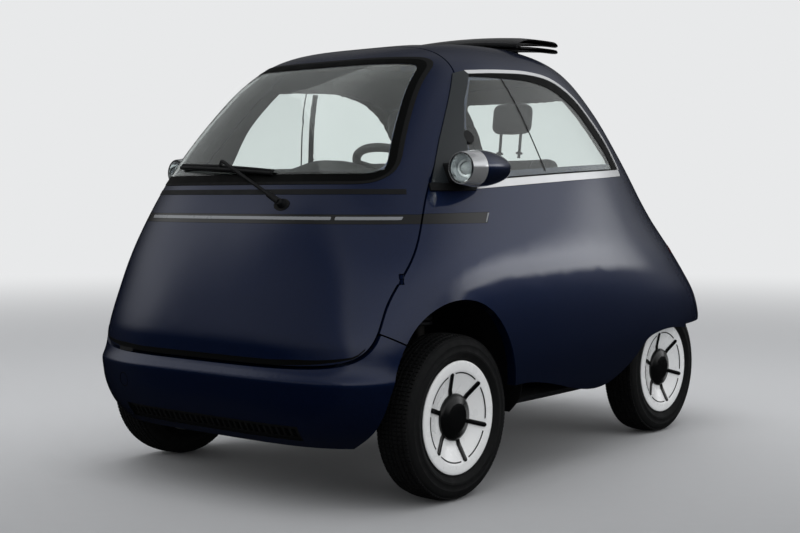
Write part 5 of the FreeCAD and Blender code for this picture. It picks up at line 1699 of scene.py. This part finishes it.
@dataclass
class Seats:
    """Bench, its back and two head restraints, padded and sewn."""

    car: Car
    low: Point3 = (-520.0, -400.0, 432.0)
    high: Point3 = (520.0, 70.0, 552.0)
    back_low: Point3 = (-505.0, -40.0, 556.0)
    back_high: Point3 = (505.0, 70.0, 1138.0)
    hinge: Point2 = (10.0, 552.0)
    lean: float = 8.5
    head_x: float = 265.0
    head_size: Point3 = (184.0, 82.0, 132.0)
    head_rise: float = 70.0
    posts: float = 92.0
    pad_round: float = 30.0
    swell: Point2 = (14.0, 8.0)
    voxel: Point2 = (9.0, 5.0)
    sewn_depth: float = 9.0
    channel_half: float = 8.0
    channel_rise: float = 24.0
    channels: Sequence[float] = (-390.0, -265.0, -140.0, 0.0, 140.0, 265.0, 390.0)

    def cushion(self, low: Point3, high: Point3, swell: float, voxel: float) -> bpy.types.Object:
        """Blow up a pad from a slightly smaller shape, as fabric over foam.

        Args:
            low: Corner of its room with the lowest coordinates, in millimetres.
            high: Opposite corner.
            swell: How far its fabric may move out.
            voxel: Size of its faces.

        Returns:
            The pad.
        """
        start = rounded_block([c + swell for c in low], [c - swell for c in high], self.pad_round)
        modify(start, "REMESH", mode="VOXEL", voxel_size=voxel * MM)
        before = [vertex.co.copy() for vertex in start.data.vertices]
        choose(start)
        cloth = start.modifiers.new("cloth", "CLOTH")
        cloth.settings.use_pressure = True
        cloth.settings.uniform_pressure_force = 4.0
        cloth.settings.effector_weights.gravity = 0.0
        for frame in range(1, 21):
            bpy.context.scene.frame_set(frame)
        bpy.ops.object.modifier_apply(modifier=cloth.name)
        for vertex, old in zip(start.data.vertices, before):
            step = vertex.co - old
            if step.length > swell * MM:
                vertex.co = old + step.normalized() * swell * MM
        bpy.context.scene.frame_set(1)
        modify(start, "SUBSURF", levels=1, render_levels=1)
        return start

    def sew(self, piece: bpy.types.Object, axis: int, face: float) -> None:
        """Sink the sewn channels into the side of a pad that faces the sitter.

        Args:
            piece: The pad.
            axis: Coordinate that the channelled side faces along, 1 or 2.
            face: Where that side begins, in millimetres.
        """
        sign = 1 if axis == 2 else -1
        for vertex in piece.data.vertices:
            along = vertex.co[axis] / MM
            share = min(max((sign * (along - face)) / self.channel_rise, 0), 1)
            for x in self.channels:
                pull = math.exp(-((vertex.co.x / MM - x) / self.channel_half) ** 2)
                vertex.co[axis] -= sign * self.sewn_depth * pull * share * MM

    def tilt(self, piece: bpy.types.Object) -> bpy.types.Object:
        """Lean a piece back with the bench's back.

        Args:
            piece: The mesh object, modelled upright.

        Returns:
            The same object.
        """
        y, z = self.hinge
        at = Matrix.Translation((0, y * MM, z * MM))
        piece.data.transform(at @ Matrix.Rotation(-math.radians(self.lean), 4, "X") @ at.inverted())
        return piece

    def build(self) -> None:
        """Make the seats."""
        (bench_swell, head_swell), (bench_voxel, head_voxel) = self.swell, self.voxel
        seat = self.cushion(self.low, self.high, bench_swell, bench_voxel)
        self.sew(seat, 2, self.high[2] - 34)
        smooth(seat, 60)
        dress(seat, "bench_cushion", SEAT_CLOTH, "body", ["seat_cushion"])
        back = self.cushion(self.back_low, self.back_high, bench_swell, bench_voxel)
        self.sew(back, 1, self.back_low[1] + 34)
        smooth(back, 60)
        dress(self.tilt(back), "bench_back", SEAT_CLOTH, "body", ["seat_back"])
        w, t, h = self.head_size
        y = self.back_high[1] - 55.0
        z = self.back_high[2] + self.head_rise
        pads, rods = [], []
        for x in (-self.head_x, self.head_x):
            pads.append(self.cushion((x - w / 2, y - t / 2, z), (x + w / 2, y + t / 2, z + h), head_swell,
                                     head_voxel))
            for side in (-1, 1):
                foot = x + side * self.posts / 2
                rods.append(tube([(foot, y, self.back_high[2] - 16), (foot, y, z + 22)], 5.6, False))
                rods.append(turned([(0, 0), (13, 0), (13, 5), (9, 8), (0, 8)],
                                   (foot, y, self.back_high[2] - 1)))
        pad = self.tilt(joined(pads))
        smooth(pad, 60)
        dress(pad, "head_restraints", SEAT_CLOTH, "body", ["headrests"])
        dress(self.tilt(joined(rods)), "head_restraint_posts", CHASSIS_STEEL, "body")


@dataclass
class Cabin:
    """Steering wheel with its boss, shaft and three double spokes."""

    car: Car
    hub: Point3 = (285.0, -545.0, 1045.0)
    foot: Point2 = (-965.0, 284.3)
    rim_r: float = 180.0
    rim_section: float = 15.0
    boss_r: float = 46.0
    spokes: Sequence[float] = (90.0, -30.0, 210.0)
    spoke_half: float = 7.0
    spoke_r: float = 6.5

    def axis(self) -> Vector:
        """Unit vector along the column, towards the driver."""
        return Vector((0, self.hub[1] - self.foot[0], self.hub[2] - self.foot[1])).normalized()

    def build(self) -> None:
        """Make the steering wheel."""
        axis = self.axis()
        section = [(self.rim_r + self.rim_section * math.cos(t), self.rim_section * math.sin(t))
                   for t in np.linspace(0, 2 * math.pi, 20, endpoint=False)]
        rim = tinted(turned(section, self.hub, tuple(axis), 96, 60), RIM_LEATHER)
        boss = turned([(0, -30), (30, -30), (self.boss_r, -24), (self.boss_r + 1, -8), (self.boss_r - 4, 0),
                       (30, 3), (0, 4)], self.hub, tuple(axis), 48)
        shaft = turned([(0, -124), (9.8, -124), (9.8, -28), (0, -28)], self.hub, tuple(axis), 24)
        up = Vector((0, -axis.z, axis.y))
        parts = [rim, tinted(boss, GRAINED_BLACK), tinted(shaft, CHASSIS_STEEL)]
        hub = Vector(self.hub)
        for turn in self.spokes:
            a = math.radians(turn)
            out = Vector((1, 0, 0)) * -math.cos(a) + up * -math.sin(a)
            across = axis.cross(out)
            for shift in (-self.spoke_half, self.spoke_half):
                line = [hub - axis * 12 + out * 40 + across * shift,
                        hub - axis * 6 + out * 100 + across * shift * 0.9,
                        hub + out * (self.rim_r - 6) + across * shift * 0.7]
                parts.append(tinted(tube([tuple(p) for p in line], self.spoke_r), GRAINED_BLACK))
        dress(joined(parts), "steering_wheel_rim", RIM_LEATHER, "steering_wheel",
              ["steering_wheel"])


@dataclass
class Details:
    """Small parts: cowl groove, latch, grille back, door sill seal, a black band of painted shadow at the
    door's foot, dashboard shelf, and towing cover with a black ring of painted shadow round it.
    """

    car: Car
    groove: Sequence[Point2] = ((-572, 974), (572, 974), (566, 990), (-566, 990))
    latch: Sequence[Point2] = ((-440, 441), (-354, 441), (-354, 455), (-440, 455))
    grille: Sequence[Point2] = ((-400, 217), (400, 217), (400, 259), (-400, 259))
    tow: Point2 = (-392.0, 344.0)
    tow_r: float = 23.2
    seal: Sequence[Point2] = ((-600, 405), (600, 405), (600, 478), (-600, 478))
    door_seam: Sequence[Point2] = ((-1400, 434), (-1235, 445), (-1152, 476), (-1104, 535),
                                   (-1060, 629))
    # Width, reach and rise over the seam of the black band of painted shadow at the door's foot.
    shadow_band_w: Sequence[Point2] = ((0, 17), (400, 17), (600, 5))
    shadow_band_reach: float = 610.0
    shadow_band_gap: float = 3.2
    dash_z: float = 1046.0
    dash_half: float = 505.0
    dash: Sequence[Point2] = ((8, -6), (30, 2), (70, 8), (120, 8), (150, 0), (158, -14), (150, -34))
    hood_x: float = 285.0
    hood_r: float = 120.0
    hood_rise: float = 26.0
    shelf: float = 7.0
    columns: int = 61

    def build(self) -> None:
        """Make the small parts."""
        skin = self.car.skin
        patches = (("cowl_groove", GRAINED_BLACK, "front_door", self.groove, -1.2, 2.4, 14),
                   ("door_latch_cover", GRAINED_BLACK, "front_door", rounded(self.latch, 4), -1.2, 4.0, 14),
                   ("grille_backing", GRAINED_BLACK, "body", self.grille, 27.5, 2.5, 30),
                   ("door_sill_seal", TYRE_RUBBER, "body", self.seal, 35.5, 4.0, 30))
        for name, finish, body, outline, depth, thickness, step in patches:
            dress(skin_patch(skin, outline, View.FRONT, depth, thickness, step), name, finish, body)
        # Black band along the door's foot: painted shadow of the gap between door and bumper.
        dress(skin_band(skin, *self.lip(), View.FRONT, -1.2, 2.4, False, 2), "door_foot_painted_shadow", BLACK_PRINT,
              "front_door")
        dress(self.dashboard(), "door_dashboard", GRAINED_BLACK, "front_door")
        # Black ring round the towing cover: painted shadow in the narrow gap round it.
        gap = self.round_outline(self.tow_r + 1.6)
        dress(skin_band(skin, gap, inset(gap, 2.2), View.FRONT, -0.5, 1.0, True, 1), "towing_cover_painted_gap_shadow",
              BLACK_PRINT, "body")
        dress(skin_patch(skin, self.round_outline(self.tow_r), View.FRONT, 0.3, 4.0), "towing_cover", NAVY,
              "body")

    def round_outline(self, radius: float) -> list[Point2]:
        """Draw a circle about the towing cover's middle.

        Args:
            radius: Its radius.

        Returns:
            Its points, as seen from the front.
        """
        x, z = self.tow
        return [(x + radius * math.cos(t), z + radius * math.sin(t))
                for t in np.linspace(0, 2 * math.pi, 48, endpoint=False)]

    def lip(self) -> tuple[list[Point2], list[Point2]]:
        """Find the black band that runs along the foot of the door, a painted shadow of the gap between door
        and bumper.

        Returns:
            Its lower and its upper edge, as seen from the front.
        """
        low, high = [], []
        for x in np.linspace(-self.shadow_band_reach, self.shadow_band_reach, 81):
            z = self.door_seam[1][1]
            for _ in range(12):
                y = self.car.skin.drop(float(x) * MM, z * MM, View.FRONT).y / MM
                z = 0.5 * z + 0.5 * float(np.interp(y, *zip(*self.door_seam)))
            low.append((float(x), z + self.shadow_band_gap))
            high.append((float(x), z + self.shadow_band_gap + float(np.interp(abs(x), *zip(*self.shadow_band_w)))))
        return low, high

    def dashboard(self) -> bpy.types.Object:
        """Make the shelf under the windscreen on the door, with a hood in front of the driver.

        Returns:
            The shelf.
        """
        columns = self.columns
        deselect()
        bpy.ops.mesh.primitive_grid_add(x_subdivisions=columns - 1, y_subdivisions=len(self.dash) - 1)
        made = bpy.context.object
        for k, vertex in enumerate(made.data.vertices):
            x = -self.dash_half + 2 * self.dash_half * (k % columns) / (columns - 1)
            depth, rise = self.dash[k // columns]
            near = max(1 - ((x - self.hood_x) / self.hood_r) ** 2, 0)
            foot = self.car.skin.drop(x * MM, self.dash_z * MM, View.FRONT, 0.0)
            lift = rise + self.hood_rise * near * min(depth / 70, 1)
            vertex.co = foot + Vector((0, depth, lift)) * MM
        modify(made, "SOLIDIFY", thickness=self.shelf * MM, offset=0.0)
        edit(made, lambda: bpy.ops.mesh.normals_make_consistent(inside=False))
        smooth(made, 40)
        return made


def main() -> None:
    """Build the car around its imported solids, one sub-assembly after another."""
    logging.basicConfig(level=logging.INFO, format="%(message)s")
    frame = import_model()
    car = Car(frame, Skin())
    for kind in (Shell, Wheels, LampPods, LightBars, Glazing, Wiper, Canopy, Seats, Cabin, Details):
        part = kind(car)
        part.build()
        LOG.info("built %s", type(part).__name__)
    Studio().build()


if __name__ == "__main__":
    main()
